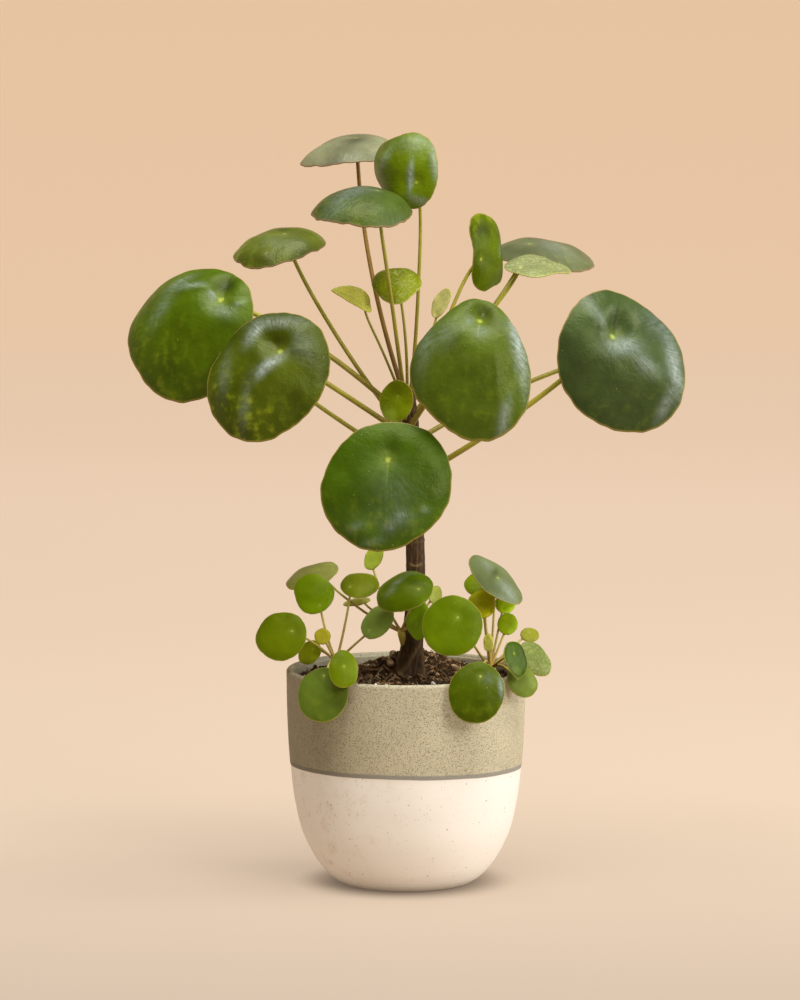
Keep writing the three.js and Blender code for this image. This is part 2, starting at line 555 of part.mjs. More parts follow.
// One body for each young plant: stem, stalks and blades grown together
function youngSolid(young) {
  const root = new THREE.Vector3(...young.root)
  const hub = new THREE.Vector3(...young.hub)
  let solid = toSolid(rodGeometry(new THREE.LineCurve3(root, hub), young.stem, 1))
  young.leaves.forEach((leaf, index) => {
    const foot = hub.clone().lerp(root, 0.1)
    const curve = new StalkCurve(foot.toArray(), leaf, leaf.bow, BLADE_THICKNESS / 2)
    const blade = bladeGeometry(leaf, PHASE_STEP * index, SMALL_BLADE_RINGS, SMALL_BLADE_SECTORS)
    blade.applyMatrix4(bladeTurn(leaf)).translate(...leaf.at)
    solid = solid.add(stalkSolid(curve, young.stalk, SMALL_STALK_STEPS)).add(toSolid(blade))
  })
  return solid.subtract(trunkRoom)
}

let mix = mixSolid().subtract(trunkRoom)
for (const young of YOUNG) {
  addPart(young.name, toGeometry(youngSolid(young)), OFFSET_LEAF)
  const hole = new THREE.LineCurve3(
    new THREE.Vector3(...young.root).setZ(young.root[2] - CLEARANCE),
    new THREE.Vector3(...young.hub),
  )
  mix = mix.subtract(toSolid(rodGeometry(hole, young.stem + CLEARANCE, 1)))
}
addPart('potting_mix', toGeometry(mix), MIX)

export default plant
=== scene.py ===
# %% [markdown]
# # A potted pilea
# A pilea is a houseplant with round, shield-shaped leaves. Each leaf sits on a long thin stalk that joins
# it underneath, a little off the middle. This one has grown a bare trunk, with young plants round its foot,
# and it stands in a rounded clay pot that is speckled above and cream below. The cells below load the
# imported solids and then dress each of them. Every size is in millimetres and is turned into metres when a
# mesh is made.

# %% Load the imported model
import math
import bpy
import numpy as np
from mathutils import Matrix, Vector


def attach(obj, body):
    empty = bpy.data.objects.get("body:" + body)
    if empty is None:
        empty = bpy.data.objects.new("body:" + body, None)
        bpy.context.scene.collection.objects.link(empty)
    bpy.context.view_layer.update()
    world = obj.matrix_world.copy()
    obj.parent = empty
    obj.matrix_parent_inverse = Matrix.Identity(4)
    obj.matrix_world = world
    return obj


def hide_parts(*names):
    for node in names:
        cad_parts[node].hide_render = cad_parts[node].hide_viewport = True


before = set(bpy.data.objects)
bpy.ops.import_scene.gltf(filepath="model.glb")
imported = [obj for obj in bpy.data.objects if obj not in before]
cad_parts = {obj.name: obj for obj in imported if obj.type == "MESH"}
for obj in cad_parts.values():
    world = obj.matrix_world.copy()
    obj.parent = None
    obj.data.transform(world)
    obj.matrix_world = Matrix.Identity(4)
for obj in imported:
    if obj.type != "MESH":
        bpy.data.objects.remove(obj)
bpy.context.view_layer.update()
MM = 0.001

# %% [markdown]
# ## Skins
# Leaves, stalks, trunk, soil and pot are all closed skins: a row of rings with a single point at either
# end. A ring could be swept, lofted or modelled by hand. Worked out as numpy arrays, one helper makes the
# faces of all of them, and any number of skins can be joined to one mesh.

# %% Closed skins from rings
def unit(vectors):
    """Vectors scaled to length one."""
    return vectors / np.linalg.norm(vectors, axis=-1, keepdims=True)


def per_vertex(first, rings, last):
    """Values for a whole skin: one for its first point, an array for its rings, one for its last point."""
    rings = np.asarray(rings, float)
    width = rings.shape[2:] or (1,)
    return np.concatenate([np.reshape(first, (1,) + width), rings.reshape((-1,) + width),
                           np.reshape(last, (1,) + width)])


def skin(rings, first, last, material=0, **data):
    """Faces between neighbouring rings, and a fan from each end point to the ring next to it.

    rings is (rings, points, 3). data holds one value for every vertex, or one for the whole skin.
    """
    count, around = rings.shape[:2]
    vertices = per_vertex(first, rings, last)
    here = np.arange(around)
    after = (here + 1) % around
    start = 1 + around * np.arange(count - 1)[:, None]
    quads = np.stack([start + here, start + around + here, start + around + after, start + after], -1)
    quads = quads.reshape(-1, 4)
    top = 1 + around * (count - 1)
    fan = np.stack([0 * here, 1 + here, 1 + after], -1)
    cap = np.stack([0 * here + len(vertices) - 1, top + after, top + here], -1)
    triangles = np.vstack([fan, cap])
    a, b, c = vertices[np.vstack([triangles, quads[:, :3], quads[:, [0, 2, 3]]])].transpose(1, 0, 2)
    if np.einsum("ij,ij->", a, np.cross(b, c)) < 0:
        quads, triangles = quads[:, ::-1], triangles[:, ::-1]
    data = {key: np.broadcast_to(value, (len(vertices), np.shape(value)[-1])) for key, value in data.items()}
    return {"vertices": vertices, "quads": quads, "triangles": triangles, "material": material, "data": data}


ring_test = skin(np.eye(3)[None], [0, 0, 0], [1, 1, 1])
print("skin of one ring:", len(ring_test["triangles"]), "triangles,", len(ring_test["quads"]), "quads")

# %% One mesh object from any number of skins
DATA_KINDS = {1: ("FLOAT", "value"), 3: ("FLOAT_VECTOR", "vector")}


def new_mesh(name, skins, materials):
    """A mesh object at the origin, with the skins' per-vertex data as named attributes."""
    offsets = np.cumsum([0] + [len(s["vertices"]) for s in skins])
    vertices = np.vstack([s["vertices"] for s in skins]) * MM
    triangles, quads = (np.vstack([s[kind] + offset for s, offset in zip(skins, offsets)])
                        for kind in ("triangles", "quads"))
    mesh = bpy.data.meshes.new(name)
    mesh.vertices.add(len(vertices))
    mesh.vertices.foreach_set("co", vertices.ravel())
    corners = np.concatenate([triangles.ravel(), quads.ravel()])
    mesh.loops.add(len(corners))
    mesh.loops.foreach_set("vertex_index", corners)
    sizes = np.repeat([3, 4], [len(triangles), len(quads)])
    mesh.polygons.add(len(sizes))
    mesh.polygons.foreach_set("loop_start", np.cumsum(sizes) - sizes)
    index = [np.full(len(s[kind]), s["material"]) for kind in ("triangles", "quads") for s in skins]
    mesh.polygons.foreach_set("material_index", np.concatenate(index))
    for key in skins[0]["data"]:
        values = np.vstack([s["data"][key] for s in skins])
        kind, field = DATA_KINDS[values.shape[1]]
        mesh.attributes.new(key, kind, "POINT").data.foreach_set(field, values.ravel())
    mesh.update(calc_edges=True)
    mesh.validate()
    mesh.shade_smooth()
    for material in materials:
        mesh.materials.append(material)
    piece = bpy.data.objects.new(name, mesh)
    bpy.context.scene.collection.objects.link(piece)
    return piece


def dress(piece, slot, *nodes):
    """The piece rides on the plant's one body and stands for its nodes; the slot is not used."""
    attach(piece, "root")
    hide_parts(*nodes)
    print(piece.name, "faces:", len(piece.data.polygons))


# %% [markdown]
# ## Materials
# All the surfaces here are natural or fired, so none has one flat colour. A small shader node group darkens
# and lightens a colour in soft patches, and another makes specks. Both read Object coordinates, so they
# stay in place when the camera moves. Painting textures by hand would do as well, but would need an image
# for each piece.

# %% Helpers for shader nodes
def add_node(tree, kind, inputs, **settings):
    """A node with its settings, and each input either set to a value or linked to a socket."""
    made = tree.nodes.new(kind)
    for key, value in settings.items():
        setattr(made, key, value)
    for key, value in inputs.items():
        if isinstance(value, bpy.types.NodeSocket):
            tree.links.new(value, made.inputs[key])
        else:
            made.inputs[key].default_value = value
    return made


def calc(tree, operation, first, second=0.0):
    """One step of arithmetic."""
    return add_node(tree, "ShaderNodeMath", {0: first, 1: second}, operation=operation).outputs[0]


def times(tree, first, *others):
    """The product of some values."""
    for other in others:
        first = calc(tree, "MULTIPLY", first, other)
    return first


def plus(tree, first, *others):
    """The sum of some values."""
    for other in others:
        first = calc(tree, "ADD", first, other)
    return first


def scaled(tree, value, factor, offset):
    """value x factor + offset."""
    return plus(tree, times(tree, value, factor), offset)


def vector_calc(tree, operation, *vectors):
    """One step of arithmetic with vectors."""
    outputs = add_node(tree, "ShaderNodeVectorMath", dict(enumerate(vectors)), operation=operation).outputs
    return outputs["Value" if operation == "LENGTH" else "Vector"]


def split(tree, vector):
    """The three parts of a vector."""
    return add_node(tree, "ShaderNodeSeparateXYZ", {0: vector}).outputs


def join(tree, first, second):
    """A vector in the plane, from its two parts."""
    return add_node(tree, "ShaderNodeCombineXYZ", {0: first, 1: second}).outputs[0]


def object_place(tree):
    """Where a point is in its object's own coordinates, in metres."""
    return add_node(tree, "ShaderNodeTexCoord", {}).outputs["Object"]


def stored(tree, name, output="Vector"):
    """A value that is stored on the mesh under a name."""
    return add_node(tree, "ShaderNodeAttribute", {}, attribute_name=name).outputs[output]


def ease(tree, value, low, high, start=0.0, end=1.0):
    """start below low and end above high, with a soft step between; low may be the larger of the two."""
    inputs = {"Value": value, "From Min": low, "From Max": high, "To Min": start, "To Max": end}
    return add_node(tree, "ShaderNodeMapRange", inputs, interpolation_type="SMOOTHSTEP").outputs[0]


def blend(tree, factor, first, second):
    """Mixes two colours."""
    return add_node(tree, "ShaderNodeMix", {0: factor, 6: first, 7: second}, data_type="RGBA").outputs[2]


def layered(tree, base, layers):
    """A colour with marks laid over it in turn: each has a name, a mask, a strength and a colour."""
    for mask, strength, colour in layers.values():
        base = blend(tree, times(tree, mask, strength), base, colour)
    return base


def brightened(tree, colour, factor):
    """A colour made brighter or darker by a factor."""
    return add_node(tree, "ShaderNodeHueSaturation", {"Value": factor, "Color": colour}).outputs[0]


def noise(tree, vector, scale, detail=2.0):
    """Soft noise between 0 and 1."""
    inputs = {"Vector": vector, "Scale": scale, "Detail": detail}
    return add_node(tree, "ShaderNodeTexNoise", inputs).outputs["Fac"]


def srgb(red, green, blue):
    """A screen colour of 0 to 255 as the linear colour that shaders use."""
    channels = np.array([red, green, blue]) / 255
    linear = np.where(channels < 0.04045, channels / 12.92, ((channels + 0.055) / 1.055) ** 2.4)
    return (*linear.tolist(), 1.0)


def tint_of(tone):
    """A screen colour as the three numbers that a mesh stores."""
    return srgb(*tone)[:3]


print("mid grey as a linear colour:", srgb(128, 128, 128))

# %% Shader node groups: soft patches and specks
NUMBER, COLOUR, VECTOR = "NodeSocketFloat", "NodeSocketColor", "NodeSocketVector"
SMALLEST_SPECK = 0.4


def new_group(name, inputs, outputs):
    """An empty shader node group with named inputs and outputs."""
    tree = bpy.data.node_groups.new(name, "ShaderNodeTree")
    for way, sockets in (("INPUT", inputs), ("OUTPUT", outputs)):
        for title, kind in sockets.items():
            tree.interface.new_socket(title, in_out=way, socket_type=kind)
    return tree, tree.nodes.new("NodeGroupInput").outputs, tree.nodes.new("NodeGroupOutput").inputs


patches, given, result = new_group(
    "soft_patches", {"Colour": COLOUR, "Scale": NUMBER, "Amount": NUMBER}, {"Colour": COLOUR})
patch = noise(patches, object_place(patches), given["Scale"], 3.0)
swing = times(patches, plus(patches, patch, -0.5), given["Amount"])
patches.links.new(brightened(patches, given["Colour"], scaled(patches, swing, 2.0, 1.0)), result["Colour"])

specks, given, result = new_group(
    "specks", {"Scale": NUMBER, "Size": NUMBER, "Spread": NUMBER}, {"Mask": NUMBER})
cells = add_node(specks, "ShaderNodeTexVoronoi", {"Vector": object_place(specks), "Scale": given["Scale"]})
lot = add_node(specks, "ShaderNodeSeparateColor", {"Color": cells.outputs["Color"]}).outputs[0]
chosen = calc(specks, "LESS_THAN", lot, given["Spread"])
uneven = calc(specks, "DIVIDE", lot, given["Spread"])
reach = times(specks, given["Size"], scaled(specks, uneven, 1 - SMALLEST_SPECK, SMALLEST_SPECK))
spot = ease(specks, cells.outputs["Distance"], reach, times(specks, reach, 0.5))
specks.links.new(times(specks, spot, chosen), result["Mask"])
print("groups:", patches.name, specks.name)


# %% Materials that use the groups
def patched(tree, colour, scale, amount):
    """A colour in soft lighter and darker patches."""
    inputs = {"Colour": colour, "Scale": scale, "Amount": amount}
    return add_node(tree, "ShaderNodeGroup", inputs, node_tree=patches).outputs["Colour"]


def speckled(tree, scale, size, spread):
    """A mask of specks: cells to a metre, size of a speck in its cell, share of the cells that have one."""
    inputs = {"Scale": scale, "Size": size, "Spread": spread}
    return add_node(tree, "ShaderNodeGroup", inputs, node_tree=specks).outputs["Mask"]


def new_material(name, gloss, roughness=0.5):
    """A material whose Principled shader has the given constants."""
    material = bpy.data.materials.new(name)
    material.use_nodes = True
    shader = material.node_tree.nodes["Principled BSDF"]
    shader.inputs["Specular IOR Level"].default_value = gloss
    shader.inputs["Roughness"].default_value = roughness
    print("material:", name)
    return material, material.node_tree, shader


def raise_relief(tree, shader, height, depth):
    """Bump from a height between 0 and 1, with its full depth in millimetres."""
    bump = add_node(tree, "ShaderNodeBump", {"Height": height, "Distance": depth * MM})
    tree.links.new(bump.outputs["Normal"], shader.inputs["Normal"])


# %% [markdown]
# ## Pot
# The pot was thrown or cast as one piece of stoneware. A band of rough, speckled, khaki glaze covers the
# upper half and ends in a smooth bluish line, and the lower half is matt cream clay with a few brown
# specks. It is a turned form, so it could be made with Spin or Screw. Here its profile is an array that is
# carried round Z.

# %% Pot: profile carried round the axis
POT_HEIGHT = 135.0
RIM_RADIUS = 75.0
RIM_ROUNDING = 1.9
RIM_ROWS = 15
WALL = 4.2
FLOOR_THICKNESS = 8.0
FLOOR_FILLET = 4
FOOT_ROUNDING = 2.5
FOOT_HOLLOW = 0.6
GLAZE_LINE = 73.9
GLAZE_TILT = (-0.0144, -0.028)
GLAZE_STEP, GLAZE_SOFTNESS = 0.35, 0.35
FLANK = np.array([[41, 0], [47.5, 4.2], [54, 11], [60.4, 21], [65.4, 32], [70, 51], [73.2, 80], [74.6, 108],
                  [75, 133.1]])
FLANK_ROWS = 110
POT_SECTORS = 200


def smooth_path(points, count):
    """A smooth line through the points: cubic pieces whose slope at each point is that of its neighbours."""
    along = np.concatenate([[0], np.cumsum(np.linalg.norm(np.diff(points, axis=0), axis=1))])
    slope = np.gradient(points, along, axis=0)
    at = np.linspace(0, along[-1], count)
    piece = np.clip(np.searchsorted(along, at, "right") - 1, 0, len(points) - 2)
    step = (along[piece + 1] - along[piece])[:, None]
    t = (at[:, None] - along[piece][:, None]) / step
    return ((2 * t**3 - 3 * t**2 + 1) * points[piece] + (t**3 - 2 * t**2 + t) * step * slope[piece]
            + (3 * t**2 - 2 * t**3) * points[piece + 1] + (t**3 - t**2) * step * slope[piece + 1])


def revolve(profile, sectors):
    """Rings at each [radius, height] of the profile: x = r cos a, y = r sin a."""
    angle = np.linspace(0, 2 * np.pi, sectors, endpoint=False)
    radius, height = profile[:, 0, None], profile[:, 1, None]
    return np.stack([radius * np.cos(angle), radius * np.sin(angle), height + 0 * angle], -1)


outside = smooth_path(FLANK, FLANK_ROWS)
lip_angle = np.linspace(0, np.pi, RIM_ROWS)
lip = np.stack([RIM_RADIUS - RIM_ROUNDING + RIM_ROUNDING * np.cos(lip_angle),
                POT_HEIGHT - RIM_ROUNDING + RIM_ROUNDING * np.sin(lip_angle)], -1)
inside = outside[::-1][outside[::-1, 1] > FLOOR_THICKNESS + FLOOR_FILLET] - [WALL, 0]
foot = [[FLANK[0, 0] - FOOT_ROUNDING, 0.0]]
pot_profile = np.vstack([foot, outside[1:-1], lip, inside, [[FLANK[0, 0], FLOOR_THICKNESS]]])
pot_rings = revolve(pot_profile, POT_SECTORS)
outer = pot_rings[1:FLANK_ROWS - 1]
line_height = GLAZE_LINE + outer[..., :2] @ GLAZE_TILT
below = 1 / (1 + np.exp((outer[..., 2] - line_height) / GLAZE_SOFTNESS))
thinner = 1 - GLAZE_STEP * below / np.linalg.norm(outer[..., :2], axis=-1)
outer[..., :2] *= thinner[..., None]
print("pot rings:", pot_rings.shape)

# %% Pot: material and piece
# the last khaki is the colour of the painted shade on the left of the glaze
KHAKI, KHAKI_DARK, KHAKI_PALE, KHAKI_SHADE = (
    srgb(194, 185, 156), srgb(98, 80, 48), srgb(218, 204, 168), srgb(92, 82, 56))
CREAM, CREAM_STAIN, CREAM_SCUFF = srgb(244, 238, 229), srgb(196, 168, 128), srgb(150, 118, 76)
BROWN_SPECK, FINE_SPECK = srgb(150, 112, 66), srgb(176, 142, 98)
LINE_PALE, LINE_DARK = srgb(150, 146, 134), srgb(118, 118, 112)
LINE_WAVER, LINE_BLUR, BAND_TOP, BAND_FULL, PIT_DEPTH = 1.2, 0.25, 3.2, 2.2, 0.25
pot_clay, tree, shader = new_material("pot_clay", gloss=0.3, roughness=0.62)
position = object_place(tree)
x, y, z = split(tree, position)
waver = times(tree, plus(tree, noise(tree, position, 30.0), -0.5), LINE_WAVER * MM)
tilt = plus(tree, times(tree, x, -GLAZE_TILT[0]), times(tree, y, -GLAZE_TILT[1]))
over_line = plus(tree, z, tilt, waver, -GLAZE_LINE * MM)
dark = speckled(tree, scale=1800.0, size=0.6, spread=0.62)
leftwards = ease(tree, x, 10 * MM, -60 * MM)
stain = ease(tree, noise(tree, position, 90.0, 6.0), 0.52, 0.74)
scuff = ease(tree, noise(tree, position, 480.0, 5.0), 0.55, 0.66)
glaze = layered(tree, patched(tree, KHAKI, scale=60.0, amount=0.12), {
    "dark specks": (dark, 0.9, KHAKI_DARK),
    "pale specks": (speckled(tree, scale=1750.0, size=0.55, spread=0.5), 0.5, KHAKI_PALE)})
band = layered(tree, LINE_PALE, {"specks": (dark, 0.35, LINE_DARK)})
upper = layered(tree, glaze, {
    "band at the line": (ease(tree, over_line, BAND_TOP * MM, BAND_FULL * MM), 1.0, band),
    # painted shade: the upper glaze is darkened towards the left, where the pot lies in the foliage's shadow
    "painted shade on the left": (ease(tree, x, 0.0, -80 * MM), 0.58, KHAKI_SHADE)})
lower = layered(tree, patched(tree, CREAM, scale=22.0, amount=0.05), {
    "stains": (times(tree, stain, scaled(tree, leftwards, 0.2, 0.04)), 1.0, CREAM_STAIN),
    "scuffs": (times(tree, scuff, leftwards, stain), 0.5, CREAM_SCUFF),
    "brown specks": (speckled(tree, scale=250.0, size=0.17, spread=0.4), 0.75, BROWN_SPECK),
    "fine specks": (speckled(tree, scale=560.0, size=0.26, spread=0.32), 0.6, FINE_SPECK)})
colour = blend(tree, ease(tree, over_line, -LINE_BLUR * MM, LINE_BLUR * MM), lower, upper)
tree.links.new(colour, shader.inputs["Base Color"])
raise_relief(tree, shader, times(tree, dark, ease(tree, over_line, 0.5 * MM, 3.0 * MM)), -PIT_DEPTH)
pot = new_mesh("pot_stoneware", [skin(pot_rings, [0, 0, FOOT_HOLLOW], [0, 0, FLOOR_THICKNESS])], [pot_clay])
dress(pot, "pot_clay", "pot")

# %% [markdown]
# ## Trunk
# The trunk is a woody stem that lost its lower leaves, so it carries oval leaf scars, and fine cracks run
# along it. Low down it swells and splits into surface roots. It could be sculpted, but a lathe form with
# scars and cracks added as a formula keeps every scar where it belongs.

# %% Trunk: centre line, girth and relief
TRUNK_BURIED = 118.0
TRUNK_TOP = 312.4
TRUNK_LINE = np.array([[92, 1.5], [133, 2], [153, 4], [178, 6.2], [205, 6], [241, 5], [296, 2.5], [313, 0.5]])
TRUNK_RADIUS = np.array([[92, 4], [120, 8.5], [131, 9.4], [139, 7.8], [150, 7], [165, 6.3], [182, 5.9],
                         [240, 5.7], [282, 5.3], [303, 4.4], [310, 3.2], [312.4, 0.8]])
TRUNK_ROWS, TRUNK_SECTORS = 420, 96
SCAR_HEIGHTS = np.array([146, 160, 173, 188, 202, 217, 229, 243, 256, 268, 281, 292])
LEAF_TURN, FRONT_SCAR = np.radians(137.5), 4
SCAR_BEARINGS = LEAF_TURN * (np.arange(len(SCAR_HEIGHTS)) - FRONT_SCAR) - np.pi / 2
SCAR_HALF_WIDTH, SCAR_HALF_HEIGHT = 3.4, 1.9
CRACK_DEPTH, SCAR_RIM, SCAR_DEPTH, JOINT_RING = 0.24, 0.55, 0.3, 0.14
RIM_MARK, JOINT_MARK, CRACK_MARK, DEEP_CRACK, RIDGE_TAN_AND_HIGHLIGHT = 0.85, 0.105, 0.22, 0.55, 0.45
SWELL_SHARE, SWELL_HEIGHT, SWELL_REACH = 0.17, 128, 14
# each root ridge: upper height and bearing, lower height and bearing, half width, how far it stands out
FOOT_RIDGES = [(152, -50, 126, -150, 1.5, 1.3), (136, -140, 122, -62, 1.3, 1.2),
               (146, -30, 124, -18, 1.4, 0.9), (150, 100, 124, 60, 1.6, 1.2), (144, 170, 124, 200, 1.6, 1.1)]
RIDGE_FADE = 2.5


def trunk_centre(height):
    """How far right of the pot's axis the trunk's middle stands at a height."""
    return np.interp(height, *TRUNK_LINE.T)


def bell(x):
    """A bell curve, exp(-x^2)."""
    return np.exp(-(x ** 2))


def fading(x):
    """A soft step from 1 down to 0."""
    return 0.5 - 0.5 * np.tanh(x)


def wrapped(angle):
    """The same angle between minus half a turn and half a turn."""
    return np.angle(np.exp(1j * angle))


heights = np.linspace(TRUNK_BURIED, TRUNK_TOP, TRUNK_ROWS)[:, None]
bearing = np.linspace(0, 2 * np.pi, TRUNK_SECTORS, endpoint=False)[None]
girth = np.interp(heights, *TRUNK_RADIUS.T)
cracks = (0.5 * np.sin(11 * bearing + 1.7 * np.sin(heights / 9)) + 0.35 * np.sin(19 * bearing - heights / 6)
          + 0.3 * np.sin(6 * bearing + heights / 4) * np.sin(heights / 2.3))
across_scar = wrapped(bearing[..., None] - SCAR_BEARINGS) * girth[..., None] / SCAR_HALF_WIDTH
up_scar = (heights[..., None] - SCAR_HEIGHTS) / SCAR_HALF_HEIGHT
from_scar = np.hypot(across_scar, up_scar)
scar_rim = (fading(3 * up_scar) * bell((from_scar - 1) / 0.3)).sum(-1)
scar_floor = np.exp(-(from_scar ** 3)).sum(-1)
joint_ring = bell((up_scar + 1.2) / 0.5).sum(-1)
root_swell = SWELL_SHARE * np.cos(3 * bearing + 0.2) * bell((heights - SWELL_HEIGHT) / SWELL_REACH) * girth
ridges = 0
for high, bearing_high, low, bearing_low, width, proud in FOOT_RIDGES:
    middle = np.radians(np.interp(heights, [low, high], [bearing_low, bearing_high]))
    aside = wrapped(bearing - middle) * girth / width
    ridges = ridges + proud * bell(aside) * fading((heights - high) / RIDGE_FADE)
spread = (girth + root_swell + ridges + CRACK_DEPTH * cracks + SCAR_RIM * scar_rim - SCAR_DEPTH * scar_floor
          + JOINT_RING * joint_ring)
trunk_rings = np.stack([trunk_centre(heights) + spread * np.cos(bearing), spread * np.sin(bearing),
                        heights + 0 * bearing], -1)
# the root ridges are marked lighter, partly for their own tan and partly as a painted highlight on them
trunk_marks = np.clip(RIM_MARK * scar_rim + JOINT_MARK * joint_ring + CRACK_MARK * (cracks > DEEP_CRACK)
                      + RIDGE_TAN_AND_HIGHLIGHT * ridges, 0, 1)
print("trunk rings:", trunk_rings.shape)

# %% Trunk: material and piece
BARK, BARK_WORN, BARK_MARK = srgb(66, 47, 26), srgb(104, 80, 48), srgb(146, 118, 80)
trunk_bark, tree, shader = new_material("trunk_bark", gloss=0.25, roughness=0.78)
lengthwise = vector_calc(tree, "MULTIPLY", object_place(tree), (1.0, 1.0, 0.22))
grain = noise(tree, lengthwise, 900.0, 3.0)
colour = layered(tree, patched(tree, BARK, scale=160.0, amount=0.5), {
    "worn grain": (ease(tree, grain, 0.5, 0.75), 1.0, BARK_WORN),
    # the marks include a painted highlight on the root ridges
    "scars, ridges and painted highlight": (stored(tree, "mark", "Fac"), 0.7, BARK_MARK)})
tree.links.new(colour, shader.inputs["Base Color"])
raise_relief(tree, shader, grain, 0.5)
ends = [trunk_centre(TRUNK_BURIED), 0, TRUNK_BURIED - 1], [trunk_centre(TRUNK_TOP), 0, TRUNK_TOP + 0.3]
trunk = new_mesh("trunk_stem", [skin(trunk_rings, *ends, mark=per_vertex(0, trunk_marks, 0))], [trunk_bark])
dress(trunk, "trunk_bark", "trunk")

# %% [markdown]
# ## Potting mix
# The mix is dark peat with chips of bark, fine roots and white perlite, heaped a little behind the trunk.
# Sculpting or a displaced plane would give the heap but not its crumbly edge. So the heap is a coarse skin,
# and a few thousand small chips with few faces each are strewn over it by a seeded draw.

# %% Potting mix: the heap
MIX_LEVEL = 127.5
MIX_EDGE = 69.4
MIX_UNDER = 112
MOUND, MOUND_X, MOUND_Y = 15.5, 5.0, 20.0
MOUND_WIDE, MOUND_DEEP = 30.0, 18.0
MIX_RINGS, MIX_SECTORS = 90, 240


def mix_height(x, y):
    """Height of the mix: a level, a bell-shaped heap and crossed waves of two sizes."""
    away = ((x - MOUND_X) / MOUND_WIDE) ** 2 + ((y - MOUND_Y) / MOUND_DEEP) ** 2
    lumps = np.sin(0.42 * x + 1.3) * np.cos(0.37 * y) + 0.7 * np.sin(0.29 * y - 0.51 * x)
    crumbs = np.sin(1.9 * x + 0.8 * np.sin(y)) * np.sin(1.7 * y + 1.1 * np.sin(0.9 * x))
    return MIX_LEVEL + MOUND * np.exp(-away) + 1.4 * lumps + 0.7 * crumbs


mix_radius = np.linspace(0.5, MIX_EDGE, MIX_RINGS)[:, None]
mix_bearing = np.linspace(0, 2 * np.pi, MIX_SECTORS, endpoint=False)[None]
mix_x, mix_y = mix_radius * np.cos(mix_bearing), mix_radius * np.sin(mix_bearing)
mix_top = np.stack([mix_x, mix_y, mix_height(mix_x, mix_y)], -1)
mix_rings = np.concatenate([mix_top, mix_top[-1:] * [1, 1, 0] + [0, 0, MIX_UNDER]])
print("mix rings:", mix_rings.shape)

# %% Potting mix: material
DARK_PATCH = srgb(40, 25, 12)
potting_mix, tree, shader = new_material("potting_mix", gloss=0.2, roughness=0.9)
position = object_place(tree)
# darker patches laid over the mix in soft noise
dark_patch_mask = ease(tree, noise(tree, position, 130.0, 4.0), 0.42, 0.62)
soil = patched(tree, stored(tree, "tint"), scale=600.0, amount=0.5)
colour = layered(tree, soil, {"dark patches": (dark_patch_mask, 0.75, DARK_PATCH)})
tree.links.new(colour, shader.inputs["Base Color"])
raise_relief(tree, shader, noise(tree, position, 1500.0, 3.0), 0.35)

# %% Potting mix: lumps, from an eight-faced ball that can be split finer
draw = np.random.default_rng(7)
OCTANT = np.array([[1, 0, 0], [-1, 0, 0], [0, 1, 0], [0, -1, 0], [0, 0, 1], [0, 0, -1]], float)
OCTANT_FACES = np.array([[0, 2, 4], [2, 1, 4], [1, 3, 4], [3, 0, 4],
                         [2, 0, 5], [1, 2, 5], [3, 1, 5], [0, 3, 5]])
NO_QUADS = np.zeros((0, 4), int)
NO_TRIANGLES = np.zeros((0, 3), int)


def rounder(points, faces):
    """Splits every triangle in four and pushes the new corners out to the unit sphere."""
    edges = np.sort(np.vstack([faces[:, [0, 1]], faces[:, [1, 2]], faces[:, [2, 0]]]), axis=1)
    pairs, which = np.unique(edges, axis=0, return_inverse=True)
    ab, bc, ca = len(points) + which.ravel().reshape(3, -1)
    a, b, c = faces.T
    parts = [np.stack(t, -1) for t in ((a, ab, ca), (b, bc, ab), (c, ca, bc), (ab, bc, ca))]
    return np.vstack([points, unit(points[pairs].mean(axis=1))]), np.vstack(parts)


def lumps_at(places, half, turns, jag, colours, squareness=2.0, splits=1):
    """A ball for each place, squared off, jagged, stretched along its own axes, turned and set down.

    A direction of the ball is divided by (|x|^p + |y|^p + |z|^p)^(1/p), where p is the squareness: 2 leaves
    it round, more squares it off. All of them make one skin.
    """
    ball, faces = OCTANT, OCTANT_FACES
    for _ in range(splits):
        ball, faces = rounder(ball, faces)
    ball = ball / (np.abs(ball) ** squareness).sum(axis=1, keepdims=True) ** (1 / squareness)
    lumps = ball[None] * (1 + jag * draw.uniform(-1, 1, (len(places), len(ball), 1))) * half[:, None]
    lumps = np.einsum("nij,nkj->nki", turns, lumps) + places[:, None]
    offsets = len(ball) * np.arange(len(places))[:, None, None]
    tones = np.array([tint_of(tone) for tone in colours])[draw.integers(0, len(colours), len(places))]
    print("lumps:", len(places), "of", len(faces), "faces")
    return {"vertices": lumps.reshape(-1, 3), "triangles": (faces[None] + offsets).reshape(-1, 3),
            "quads": NO_QUADS, "material": 0, "data": {"tint": np.repeat(tones, len(ball), axis=0)}}


print("faces of a ball, split once:", len(rounder(OCTANT, OCTANT_FACES)[1]))

# %% Potting mix: strewn chips, crumbs and perlite
STEM_FEET = ((-43.3, 5.8), (53, -4.3))
TRUNK_AT = trunk_centre(130)
TRUNK_CLEAR, STEM_CLEAR = 9, 2.5
PEAT = (70, 49, 28)
DARK_TONES = [(108, 79, 47), (134, 101, 62), (56, 40, 24), (166, 128, 84)]
BARK_TONES = [(138, 106, 70), (98, 72, 43), (196, 164, 122), (62, 44, 27)]
PERLITE_TONES = [(240, 232, 220), (225, 214, 198)]
GRAIN_TONES = [(246, 238, 226), (232, 222, 208)]
GRAIN_X, GRAIN_Y = np.array([-11.9, -1.9, 1.9, 16.9, -18.8]), np.array([-44.0, -45.0, -42.0, -37.0, -40.0])
GRAIN_HALF = np.array([[2.2, 1.8, 1.7], [1.5, 1.4, 1.5], [1.6, 1.3, 1.4], [1.5, 1.7, 1.3], [1.2, 1.4, 1.2]])
GRAIN_LIFT, GRAIN_JAG = 2.4, 0.16


